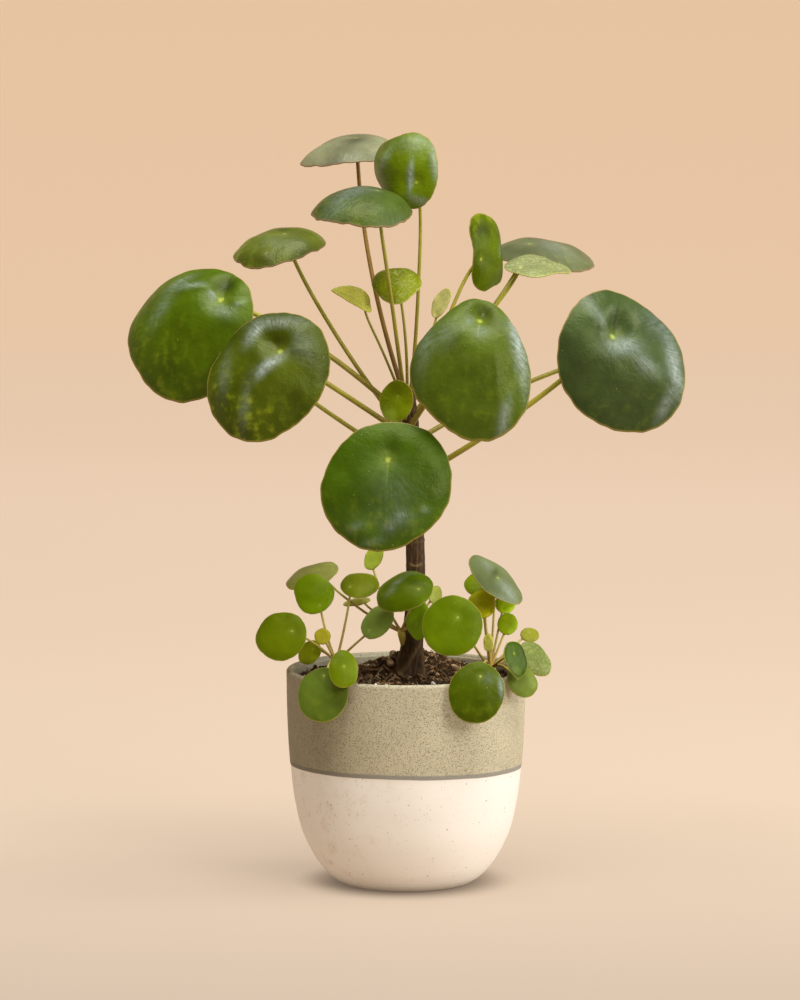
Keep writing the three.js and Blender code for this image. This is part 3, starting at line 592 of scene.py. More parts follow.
def random_turns(count):
    """Rotation matrices from random unit quaternions."""
    w, x, y, z = unit(draw.normal(size=(count, 4))).T
    rows = [[1 - 2 * (y * y + z * z), 2 * (x * y - z * w), 2 * (x * z + y * w)],
            [2 * (x * y + z * w), 1 - 2 * (x * x + z * z), 2 * (y * z - x * w)],
            [2 * (x * z - y * w), 2 * (y * z + x * w), 1 - 2 * (x * x + y * y)]]
    return np.moveaxis(np.array(rows), -1, 0)


def clear_of_stems(x, y, from_trunk, from_stem):
    """Whether places on the mix are clear of the trunk and of the young plants' stems."""
    clear = np.hypot(x - TRUNK_AT, y) > from_trunk
    for stem_x, stem_y in STEM_FEET:
        clear &= np.hypot(x - stem_x, y - stem_y) > from_stem
    return clear


def chips(count, small, large, lift, jag, colours, splits=1):
    """Lumps of random size, turn and place, clear of the wall, the trunk and the young plants' stems."""
    half = draw.uniform(small, large, (count, 3))
    reach = half.max(axis=1)
    far = (MIX_EDGE - reach) * np.sqrt(draw.uniform(0, 1, count))
    heading = draw.uniform(0, 2 * np.pi, count)
    x, y = far * np.cos(heading), far * np.sin(heading)
    z = mix_height(x, y) + lift * draw.uniform(-1, 1, count) * half.min(axis=1)
    clear = clear_of_stems(x, y, TRUNK_CLEAR + reach, STEM_CLEAR + reach)
    places = np.stack([x, y, z], -1)[clear]
    return lumps_at(places, half[clear], random_turns(len(places)), jag, colours, splits=splits)


heap = skin(mix_rings, [0, 0, mix_height(0, 0)], [0, 0, MIX_UNDER], tint=tint_of(PEAT))
coarse = chips(700, small=0.7, large=2.1, lift=0.5, jag=0.38, colours=DARK_TONES)
bark = chips(170, small=0.3, large=1.8, lift=0.6, jag=0.35, colours=BARK_TONES)
crumbs = chips(4600, small=0.4, large=1.15, lift=1.2, jag=0.3, colours=DARK_TONES + BARK_TONES, splits=0)
perlite = chips(85, small=0.5, large=1.2, lift=1.3, jag=0.2, colours=PERLITE_TONES)
grain_at = np.stack([GRAIN_X, GRAIN_Y, mix_height(GRAIN_X, GRAIN_Y) + GRAIN_LIFT], -1)
grains = lumps_at(grain_at, GRAIN_HALF, random_turns(len(GRAIN_X)), GRAIN_JAG, GRAIN_TONES, splits=2)

# %% Potting mix: the large chips, each at its own fixed place on a sunflower spiral
CHIP_COUNT = 32
CHIP_HALF = np.array([3.6, 2.4, 1.7])
CHIP_VARIATION = np.array([0.9, 0.5, 0.3])
CHIP_EDGE = 64.0
CHIP_STEP = 2.4
CHIP_TRUNK_CLEAR, CHIP_STEM_CLEAR = 14, 8
CHIP_SQUARENESS, CHIP_JAG, CHIP_LIFT = 6.0, 0.07, 0.3
number = np.arange(CHIP_COUNT)
chip_far = CHIP_EDGE * np.sqrt((number + 0.5) / CHIP_COUNT)
chip_x, chip_y = chip_far * np.cos(CHIP_STEP * number), chip_far * np.sin(CHIP_STEP * number)
chip_swing = np.stack([np.sin(2.1 * number), np.cos(3.7 * number), np.sin(5.3 * number)], -1)
chip_half = CHIP_HALF + CHIP_VARIATION * chip_swing
tilt, yaw, nought, one = 0.5 * np.sin(4.4 * number), 1.9 * number, 0.0 * number, 0.0 * number + 1
tilting = np.array([[np.cos(tilt), nought, np.sin(tilt)], [nought, one, nought],
                    [-np.sin(tilt), nought, np.cos(tilt)]])
turning = np.array([[np.cos(yaw), -np.sin(yaw), nought], [np.sin(yaw), np.cos(yaw), nought],
                    [nought, nought, one]])
chip_turns = np.einsum("ijn,jkn->nik", turning, tilting)
chip_at = np.stack([chip_x, chip_y, mix_height(chip_x, chip_y) + CHIP_LIFT * chip_half[:, 2]], -1)
clear = clear_of_stems(chip_x, chip_y, CHIP_TRUNK_CLEAR, CHIP_STEM_CLEAR)
large_chips = lumps_at(chip_at[clear], chip_half[clear], chip_turns[clear], CHIP_JAG, BARK_TONES,
                       CHIP_SQUARENESS, splits=3)

# %% [markdown]
# ## Tubes
# Leaf stalks, roots and fibres are all thin rods along a curve. A curve object with a bevel would do, but a
# skin joins the other skins in one mesh and can be thick at its foot and thin higher up.

# %% Tubes along a path
def tube(path, radius, sides, low, high, material=0, **data):
    """Rings square to a path, tinted from low to high.

    The two directions across the path come from one fixed side direction.
    """
    along = unit(np.gradient(path, axis=0))
    fixed = np.eye(3)[np.argmin(np.abs(path[-1] - path[0]))]
    across = unit(np.cross(along, fixed))
    other = np.cross(along, across)
    turn = np.linspace(0, 2 * np.pi, sides, endpoint=False)[None, :, None]
    circle = across[:, None] * np.cos(turn) + other[:, None] * np.sin(turn)
    share = np.linspace(0, 1, len(path))[:, None, None]
    tones = (np.array(tint_of(low)) * (1 - share) + np.array(tint_of(high)) * share) * np.ones((1, sides, 1))
    return skin(path[:, None] + circle * np.reshape(radius, (-1, 1, 1)), path[0], path[-1], material,
                tint=per_vertex(tones[0, 0], tones, tones[-1, 0]), **data)


print("faces round a tube of three rings:", len(tube(np.eye(3), 1.0, 6, PEAT, PEAT)["quads"]))

# %% Potting mix: fibres and surface roots, and the piece
THREAD_COUNT, THREAD_POINTS = 230, 14
THREAD_TONES = [(176, 150, 112), (128, 100, 68), (208, 184, 146)]
THREAD_TRUNK_CLEAR = 10
THREAD_EDGE = MIX_EDGE - 6
ROOT_BEARINGS = np.radians([-150, -118, -84, -55, -22, 20, 75, 130, 175])
ROOT_START, ROOT_HEIGHT = 7.5, 131
ROOT_TONE = (136, 106, 74)
WANDER, THREAD_ARCH, THREAD_TAPER, THREAD_SIDES = 0.5, 1.6, 0.55, 6


def lying_thread(start, bearing, length, radius, tone):
    """A thread on the mix that starts at a place, wanders sideways and follows the heap's height."""
    t = np.linspace(0, 1, THREAD_POINTS)
    wander = draw.uniform(-WANDER, WANDER, 2)
    heading = bearing + wander[0] * t + wander[1] * np.sin(5 * t)
    x = start[0] + np.cumsum(np.cos(heading)) * length / THREAD_POINTS
    y = start[1] + np.cumsum(np.sin(heading)) * length / THREAD_POINTS
    shrink = np.minimum(1, (MIX_EDGE - 1.5) / np.maximum(np.hypot(x, y), 1))
    x, y = x * shrink, y * shrink
    z = mix_height(x, y) + 1.1 * radius + THREAD_ARCH * np.sin(np.pi * t) * draw.uniform(0.1, 1)
    return tube(np.stack([x, y, z], -1), radius * (1 - THREAD_TAPER * t), THREAD_SIDES, tone, tone)


threads = []
for _ in range(THREAD_COUNT):
    far = THREAD_EDGE * math.sqrt(draw.uniform(0.02, 1))
    heading = draw.uniform(0, 2 * np.pi)
    start = (far * math.cos(heading), far * math.sin(heading))
    if math.hypot(start[0] - TRUNK_AT, start[1]) < THREAD_TRUNK_CLEAR:
        continue
    tone = THREAD_TONES[draw.integers(0, len(THREAD_TONES))]
    heading = draw.uniform(0, 2 * np.pi)
    threads.append(lying_thread(start, heading, draw.uniform(4, 18), draw.uniform(0.16, 0.36), tone))
for heading in ROOT_BEARINGS:
    start = (trunk_centre(ROOT_HEIGHT) + ROOT_START * math.cos(heading), ROOT_START * math.sin(heading))
    threads.append(lying_thread(start, heading, draw.uniform(14, 26), draw.uniform(0.7, 1.2), ROOT_TONE))
print("threads:", len(threads))
mix = new_mesh("potting_mix_heap", [heap, coarse, bark, crumbs, perlite, grains, large_chips] + threads,
               [potting_mix])
mix.data.shade_flat()
dress(mix, "potting_mix", "potting_mix")

# %% [markdown]
# ## Leaves
# A pilea leaf is a round blade that its stalk meets underneath. The blade dips like a funnel over the
# stalk, domes, and rolls down at its margin. Leaves could be copies of one modelled leaf, but each one in
# this plant has its own size, tilt and bend, so a formula in the blade's own two directions gives each its
# shape from a few numbers.

# %% A leaf as a row of numbers, and its directions along the line of sight of the front view
SIGHT_DROP = math.radians(6.4)
RIGHT = np.array([1.0, 0.0, 0.0])
UPWARD = np.array([0.0, math.sin(SIGHT_DROP), math.cos(SIGHT_DROP)])
TOWARDS = np.array([0.0, -math.cos(SIGHT_DROP), math.sin(SIGHT_DROP)])


def leaf_of(at, size, facing, near, tint, bow=(0, 0, 0), foot=None, radius=None, spots=0.35, freckles=0.0,
            sheen=(), **form):
    """One leaf: where its stalk meets it, its length and width, its directions and its tint.

    facing is turn, lean and tip in degrees, and near is the share of the length that lies behind the stalk.
    bow, foot and radius are the stalk's. spots and freckles are amounts, sheen is a list of bells of painted
    sheen, where a negative amount paints shade instead, and what else is given changes the blade's form.
    """
    return {"at": np.array(at, float), "size": size, "facing": facing, "near": near, "tint": tint, "bow": bow,
            "foot": foot, "radius": radius, "amounts": (spots, freckles), "sheen": sheen, "form": form}


def blade_axes(leaf):
    """Directions across the blade, to its tip and out of its upper face.

    The face leans from the front by lean, towards turn; the tip points to tip as seen from the front.
    """
    turn, lean, tip = (math.radians(angle) for angle in leaf["facing"])
    face = TOWARDS * math.cos(lean) + (RIGHT * math.cos(turn) + UPWARD * math.sin(turn)) * math.sin(lean)
    to_tip = RIGHT * math.cos(tip) + UPWARD * math.sin(tip)
    to_tip = unit(to_tip - TOWARDS * (to_tip @ face) / (TOWARDS @ face))
    return np.array([np.cross(to_tip, face), to_tip, face])


print("line of sight:", TOWARDS)

# %% Blade surface
PLAIN_FORM = {"dome": 0.1, "dimple": 0.035, "roll": 0.25, "fold": 0.0, "side": 0.0, "off": 0.0, "wave": 0.012,
              "blister": 0.006, "ridges": [], "dents": [], "rim": [1, 1, 1, 1, 1, 1, 1, 1]}
MARGIN_WAVES = 5
MARGIN_LOBES = 0.01
SCALLOPS = ((11, 0.0035), (17, 0.0035), (26, 0.003))
PHASE_STEP = 2.4
DIMPLE_SPREAD = 0.11
ROLL_START = 0.7
FOLD_ROUNDING = 0.03


def rim_factor(turn, rim):
    """A smooth closed curve through the radii given at eight even places round the margin."""
    places = len(rim)
    away = (turn[..., None] - 2 * np.pi * np.arange(places) / places) / 2
    away = np.where(np.abs(np.sin(away)) < 1e-6, 5e-6, away)
    return (np.array(rim) * np.sin(places * away) / (places * np.tan(away))).sum(-1)


def turned(u, v, bearing):
    """Distances along a bearing in degrees, and square to it."""
    cos, sin = math.cos(math.radians(bearing)), math.sin(math.radians(bearing))
    return u * cos + v * sin, v * cos - u * sin


def bells(u, v, marks):
    """Sum of oval bells: amount exp(-(a / long)^2 - (b / short)^2), a and b along and across the bearing."""
    total = np.zeros(np.broadcast(u, v).shape)
    for middle_u, middle_v, long, short, bearing, amount in marks:
        lengthways, sideways = turned(u - middle_u, v - middle_v, bearing)
        total += amount * np.exp(-(lengthways / long) ** 2 - (sideways / short) ** 2)
    return total


def blade_surface(leaf, phase):
    """The upper face as a function of share (0 over the stalk, 1 at the margin) and turn round the stalk.

    Besides its dome, dimple and margin it has ridges, each a soft roof along a straight line, and dents,
    each a bell. A ridge is a bearing, a start, a softness and a slope; a dent is a place, a long and a short
    reach, a bearing and a depth. Lengths are shares of the blade's mean size.
    """
    form = {**PLAIN_FORM, **leaf["form"]}
    length, width = leaf["size"]
    mean = (length + width) / 2
    middle_u, middle_v = form["off"] * width, (0.5 - leaf["near"]) * length

    def height(across, v):
        """Height over the blade's own plane, in millimetres."""
        u = across - middle_u
        from_top = (2 * u / width) ** 2 + (2 * (v - middle_v / 2) / length) ** 2
        from_middle = np.hypot(2 * u / width, 2 * (v - middle_v) / length)
        turn = np.arctan2((v - middle_v) / length, u / width)
        to_stalk = (across ** 2 + v ** 2) / (DIMPLE_SPREAD * mean) ** 2
        a, b = 11 * u / mean + phase, 12 * v / mean - phase
        blisters = np.sin(a + 0.9 * np.sin(b)) * np.sin(b + 0.7 * np.sin(0.6 * a))
        blisters = blisters * (1 - np.exp(-to_stalk / 9))
        ridges = [slope / 2 * np.hypot(turned(across, v, bearing)[0] / mean - start, softness)
                  for bearing, start, softness, slope in form["ridges"]]
        return mean * (
            bells(across / mean, v / mean, form["dents"])
            - sum(ridges)
            - form["dome"] * from_top
            + form["dimple"] * (1 - np.exp(-to_stalk))
            + form["fold"] * np.hypot(u / mean, FOLD_ROUNDING)
            - form["roll"] * np.maximum(0, from_middle - ROLL_START) ** 2
            - form["side"] * (np.maximum(0, u) / mean) ** 2
            + form["wave"] * from_middle ** 3 * np.sin(MARGIN_WAVES * turn + phase)
            + form["blister"] * blisters)

    at_stalk = height(np.zeros(1), np.zeros(1))[0]

    def surface(share, turn):
        """Points of the face at a share of the way to the margin and a turn round the stalk."""
        lobes = 1 + MARGIN_LOBES * np.sin(MARGIN_WAVES * turn + phase)
        for k, (waves, deep) in enumerate(SCALLOPS, 2):
            lobes = lobes + deep * np.sin(waves * turn + k * phase)
        reach = share * rim_factor(turn, form["rim"]) * lobes
        u = middle_u * share + reach * width / 2 * np.cos(turn)
        v = middle_v * share + reach * length / 2 * np.sin(turn)
        return np.stack([u, v, height(u, v) - at_stalk], -1)

    return surface, mean


# %% Blade of a leaf as a closed skin
BLADE_THICKNESS = 0.8
MARGIN_BENDS = np.radians([45, 90, 135])[:, None, None]
UNDER_ROUND_MARGIN = [0.25, 0.5, 0.75]
FIRST_RING = 0.03
STEP = 1e-3


def blade(leaf, phase, rows, sectors):
    """The upper face, a rounded margin and the under face, a blade's thickness apart, as one closed skin."""
    surface, mean = blade_surface(leaf, phase)
    share, turn = np.meshgrid(np.sin(np.linspace(FIRST_RING, np.pi / 2, rows)),
                              np.linspace(0, 2 * np.pi, sectors, endpoint=False), indexing="ij")
    upper = surface(share, turn)
    outward = unit(surface(share + STEP, turn) - surface(share - STEP, turn))
    normal = unit(np.cross(outward, surface(share, turn + STEP) - surface(share, turn - STEP)))
    lower = upper - normal * BLADE_THICKNESS
    half = BLADE_THICKNESS / 2
    margin = upper[-1] - half * normal[-1] + half * (normal[-1] * np.cos(MARGIN_BENDS)
                                                     + outward[-1] * np.sin(MARGIN_BENDS))
    rings = np.concatenate([upper, margin, lower[::-1]])
    axes = blade_axes(leaf)
    flat = np.concatenate([upper, np.repeat(upper[-1:], 3, axis=0), upper[::-1]])[..., :2] / mean
    shares = np.concatenate([share, np.ones((3, sectors)), share[::-1]])[..., None]
    under = np.concatenate([np.zeros(rows), UNDER_ROUND_MARGIN, np.ones(rows)])[:, None] + 0 * shares[..., 0]
    # the sheen bells are painted light: positive amounts paint sheen, negative ones paint shade; finish
    # stores them with the amounts of spots and freckles
    sheen = bells(flat[..., 0], flat[..., 1], leaf["sheen"]) * (1 - under)
    finish = np.stack([sheen] + [np.full(sheen.shape, amount) for amount in leaf["amounts"]], -1)
    nought = [0, 0, 0]
    return skin(rings @ axes + leaf["at"], leaf["at"], leaf["at"] - BLADE_THICKNESS * axes[2],
                tint=tint_of(leaf["tint"]), under=per_vertex(0, under, 1),
                place=per_vertex(nought, np.concatenate([flat, shares], -1), nought),
                finish=per_vertex(nought, finish, nought))


# %% Stalk of a leaf
HOOK = 0.45
HOOK_POWER = 6
STALK_SINK = 0.9
BARE = {"place": (0, 0, 0), "under": (0,), "finish": (0, 0, 0)}


def stalk(leaf, rows, sides, tones, material=0):
    """A line from foot to the blade's under side, bowed in the middle and hooked to meet it squarely."""
    t = np.linspace(0, 1, rows)[:, None]
    face = blade_axes(leaf)[2]
    foot = np.array(leaf["foot"], float)
    way = leaf["at"] - face * BLADE_THICKNESS * STALK_SINK - foot
    hook = HOOK * np.linalg.norm(way)
    path = foot + way * t + np.array(leaf["bow"]) * 4 * t * (1 - t) - face * hook * t ** HOOK_POWER * (1 - t)
    taper = 1.12 - 0.22 * t + 0.3 * bell((1 - t) / 0.012) + 0.35 * bell(t / 0.05)
    return tube(path, leaf["radius"] * taper, sides, *tones, material, **BARE)


sample = leaf_of((0, 0, 100), (80, 80), (90, 20, 270), 0.3, PEAT, foot=(0, 0, 0), radius=1.5)
sample_blade, sample_rod = blade(sample, 0.0, 20, 60), stalk(sample, 20, 8, (PEAT, PEAT))
print("a plain leaf:", len(sample_blade["quads"]), "and", len(sample_rod["quads"]), "faces")

# %% [markdown]
# ## Leaf materials
# The upper face is deep green and satin, with a pale star where the stalk joins it, faint veins that run
# out from there, soft lighter mottling and a thin brownish margin. The under face is paler. Bells of
# painted sheen and painted shade are laid over the upper face's colour. These marks follow the blade, so
# the blade's own flat position is stored on its mesh and the marks are worked out from that.

# %% Group: marks of a leaf, with its painted sheen and painted shade
DUST, BLOTCH, FRECKLE, DOT = srgb(196, 206, 150), srgb(150, 162, 30), srgb(212, 218, 160), srgb(104, 84, 30)
PAINTED_SHEEN, SHADE = srgb(172, 184, 182), srgb(22, 32, 8)
BACK, BACK_VEIN = srgb(165, 172, 92), srgb(196, 200, 130)
RAY_DRIFT = (3.0, 3.0, 3.0)
tree, given, result = new_group(
    "leaf_marks_and_painted_light",
    {"Tint": COLOUR, "Place": VECTOR, "Under": NUMBER, "Finish": VECTOR, "Margin": COLOUR, "Star": COLOUR},
    {"Colour": COLOUR, "Height": NUMBER, "Sheen": NUMBER})
leaf_marks_and_painted_light = tree
across, along, share = split(tree, given["Place"])
sheen, spots, freckles = split(tree, given["Finish"])
flat = join(tree, across, along)
far = vector_calc(tree, "LENGTH", flat)
position = object_place(tree)
drift = vector_calc(tree, "MULTIPLY", position, RAY_DRIFT)
rays_at = vector_calc(tree, "ADD", vector_calc(tree, "NORMALIZE", flat), drift)
rays = noise(tree, rays_at, 7.0)
pleats = noise(tree, rays_at, 24.0, 3.0)
mottle = noise(tree, position, 42.0, 4.0)
wrinkles = noise(tree, position, 330.0, 3.0)
blotches = ease(tree, noise(tree, position, 170.0, 3.0), 0.45, 0.84)
flecks = ease(tree, noise(tree, position, 640.0, 3.0), 0.5, 0.62)
# painted light from the sheen bells: highlight where they are positive, shade where they are negative
painted_highlight = calc(tree, "MAXIMUM", sheen, 0.0)
shaded = calc(tree, "MAXIMUM", times(tree, sheen, -1.0), 0.0)
ragged = calc(tree, "SUBTRACT", far, times(tree, rays, 0.034))
midrib = times(tree, ease(tree, calc(tree, "ABSOLUTE", across), 0.012, 0.003), ease(tree, along, 0.22, 0.02),
               ease(tree, along, -0.01, 0.01))
front = layered(tree, brightened(tree, given["Tint"], scaled(tree, mottle, 1.5, 0.25)), {
    "glow over the stalk": (ease(tree, far, 0.12, 0.0), 0.12, given["Star"]),
    "veins": (times(tree, ease(tree, rays, 0.56, 0.74), ease(tree, far, 0.55, 0.05)), 0.05, given["Star"]),
    "dust": (speckled(tree, scale=210.0, size=0.085, spread=0.4), 0.45, DUST),
    "blotches to the tip": (times(tree, blotches, ease(tree, along, 0.1, 0.6), spots), 0.6, BLOTCH),
    "freckles": (times(tree, flecks, freckles), 0.2, FRECKLE),
    "dots": (times(tree, speckled(tree, scale=300.0, size=0.17, spread=0.5), freckles), 0.4, DOT),
    "star": (ease(tree, ragged, 0.014, -0.012), 0.65, given["Star"]),
    "midrib": (midrib, 0.12, given["Star"]),
    # painted sheen: a grey-blue highlight laid into the colour; the next line paints shade into the hollows
    "painted sheen": (times(tree, painted_highlight, scaled(tree, plus(tree, wrinkles, pleats), 1.9, -0.9)), 0.62, PAINTED_SHEEN),
    "shade": (shaded, 1.0, SHADE)})
back = layered(tree, blend(tree, 0.55, given["Tint"], BACK), {
    "veins": (ease(tree, rays, 0.55, 0.7), 0.35, BACK_VEIN)})
colour = layered(tree, front, {
    "under face": (given["Under"], 1.0, back),
    "margin": (ease(tree, share, 0.978, 0.996), 0.65, given["Margin"])})
relief = plus(
    tree,
    times(tree, noise(tree, position, 700.0), 0.09),
    times(tree, noise(tree, position, 75.0, 4.0), 0.95),
    times(tree, rays, ease(tree, far, 0.85, 0.35), ease(tree, far, 0.08, 0.35), 0.2),
    times(tree, wrinkles, scaled(tree, painted_highlight, 0.4, 0.15)),
    times(tree, pleats, scaled(tree, painted_highlight, 0.7, 0.04)))
for output, value in {"Colour": colour, "Height": relief, "Sheen": scaled(tree, mottle, 0.16, 0.3)}.items():
    tree.links.new(value, result[output])
print("group:", leaf_marks_and_painted_light.name)

# %% Leaf and stalk materials
GLOSS_TINT = (0.95, 1.0, 0.5, 1.0)


def leaf_material(name, margin, star, relief, gloss=0.2):
    """A satin leaf: marks, painted sheen and painted shade come from the group, and its tint from the mesh.
    """
    material, tree, shader = new_material(name, gloss)
    shader.inputs["Specular Tint"].default_value = GLOSS_TINT
    marks = add_node(tree, "ShaderNodeGroup", {
        "Tint": stored(tree, "tint"), "Place": stored(tree, "place"), "Under": stored(tree, "under", "Fac"),
        "Finish": stored(tree, "finish"), "Margin": srgb(*margin), "Star": srgb(*star)},
        node_tree=leaf_marks_and_painted_light).outputs
    tree.links.new(marks["Colour"], shader.inputs["Base Color"])
    tree.links.new(marks["Sheen"], shader.inputs["Roughness"])
    raise_relief(tree, shader, marks["Height"], relief)
    return material


leaf_green = leaf_material("leaf_green", (150, 128, 60), (176, 190, 70), relief=1.1)
leaf_fresh = leaf_material("leaf_fresh", (150, 128, 60), (176, 190, 70), relief=1.1, gloss=0.06)
leaf_grey_green = leaf_material("leaf_grey_green", (132, 100, 72), (150, 160, 90), relief=1.3, gloss=0.24)
leaf_pale = leaf_material("leaf_pale", (178, 170, 84), (196, 204, 110), relief=0.8)
young_leaf = leaf_material("young_leaf", (160, 150, 66), (190, 204, 96), relief=0.6, gloss=0.13)
leaf_stalk, tree, shader = new_material("leaf_stalk", gloss=0.35, roughness=0.42)
colour = patched(tree, stored(tree, "tint"), scale=150.0, amount=0.25)
tree.links.new(colour, shader.inputs["Base Color"])
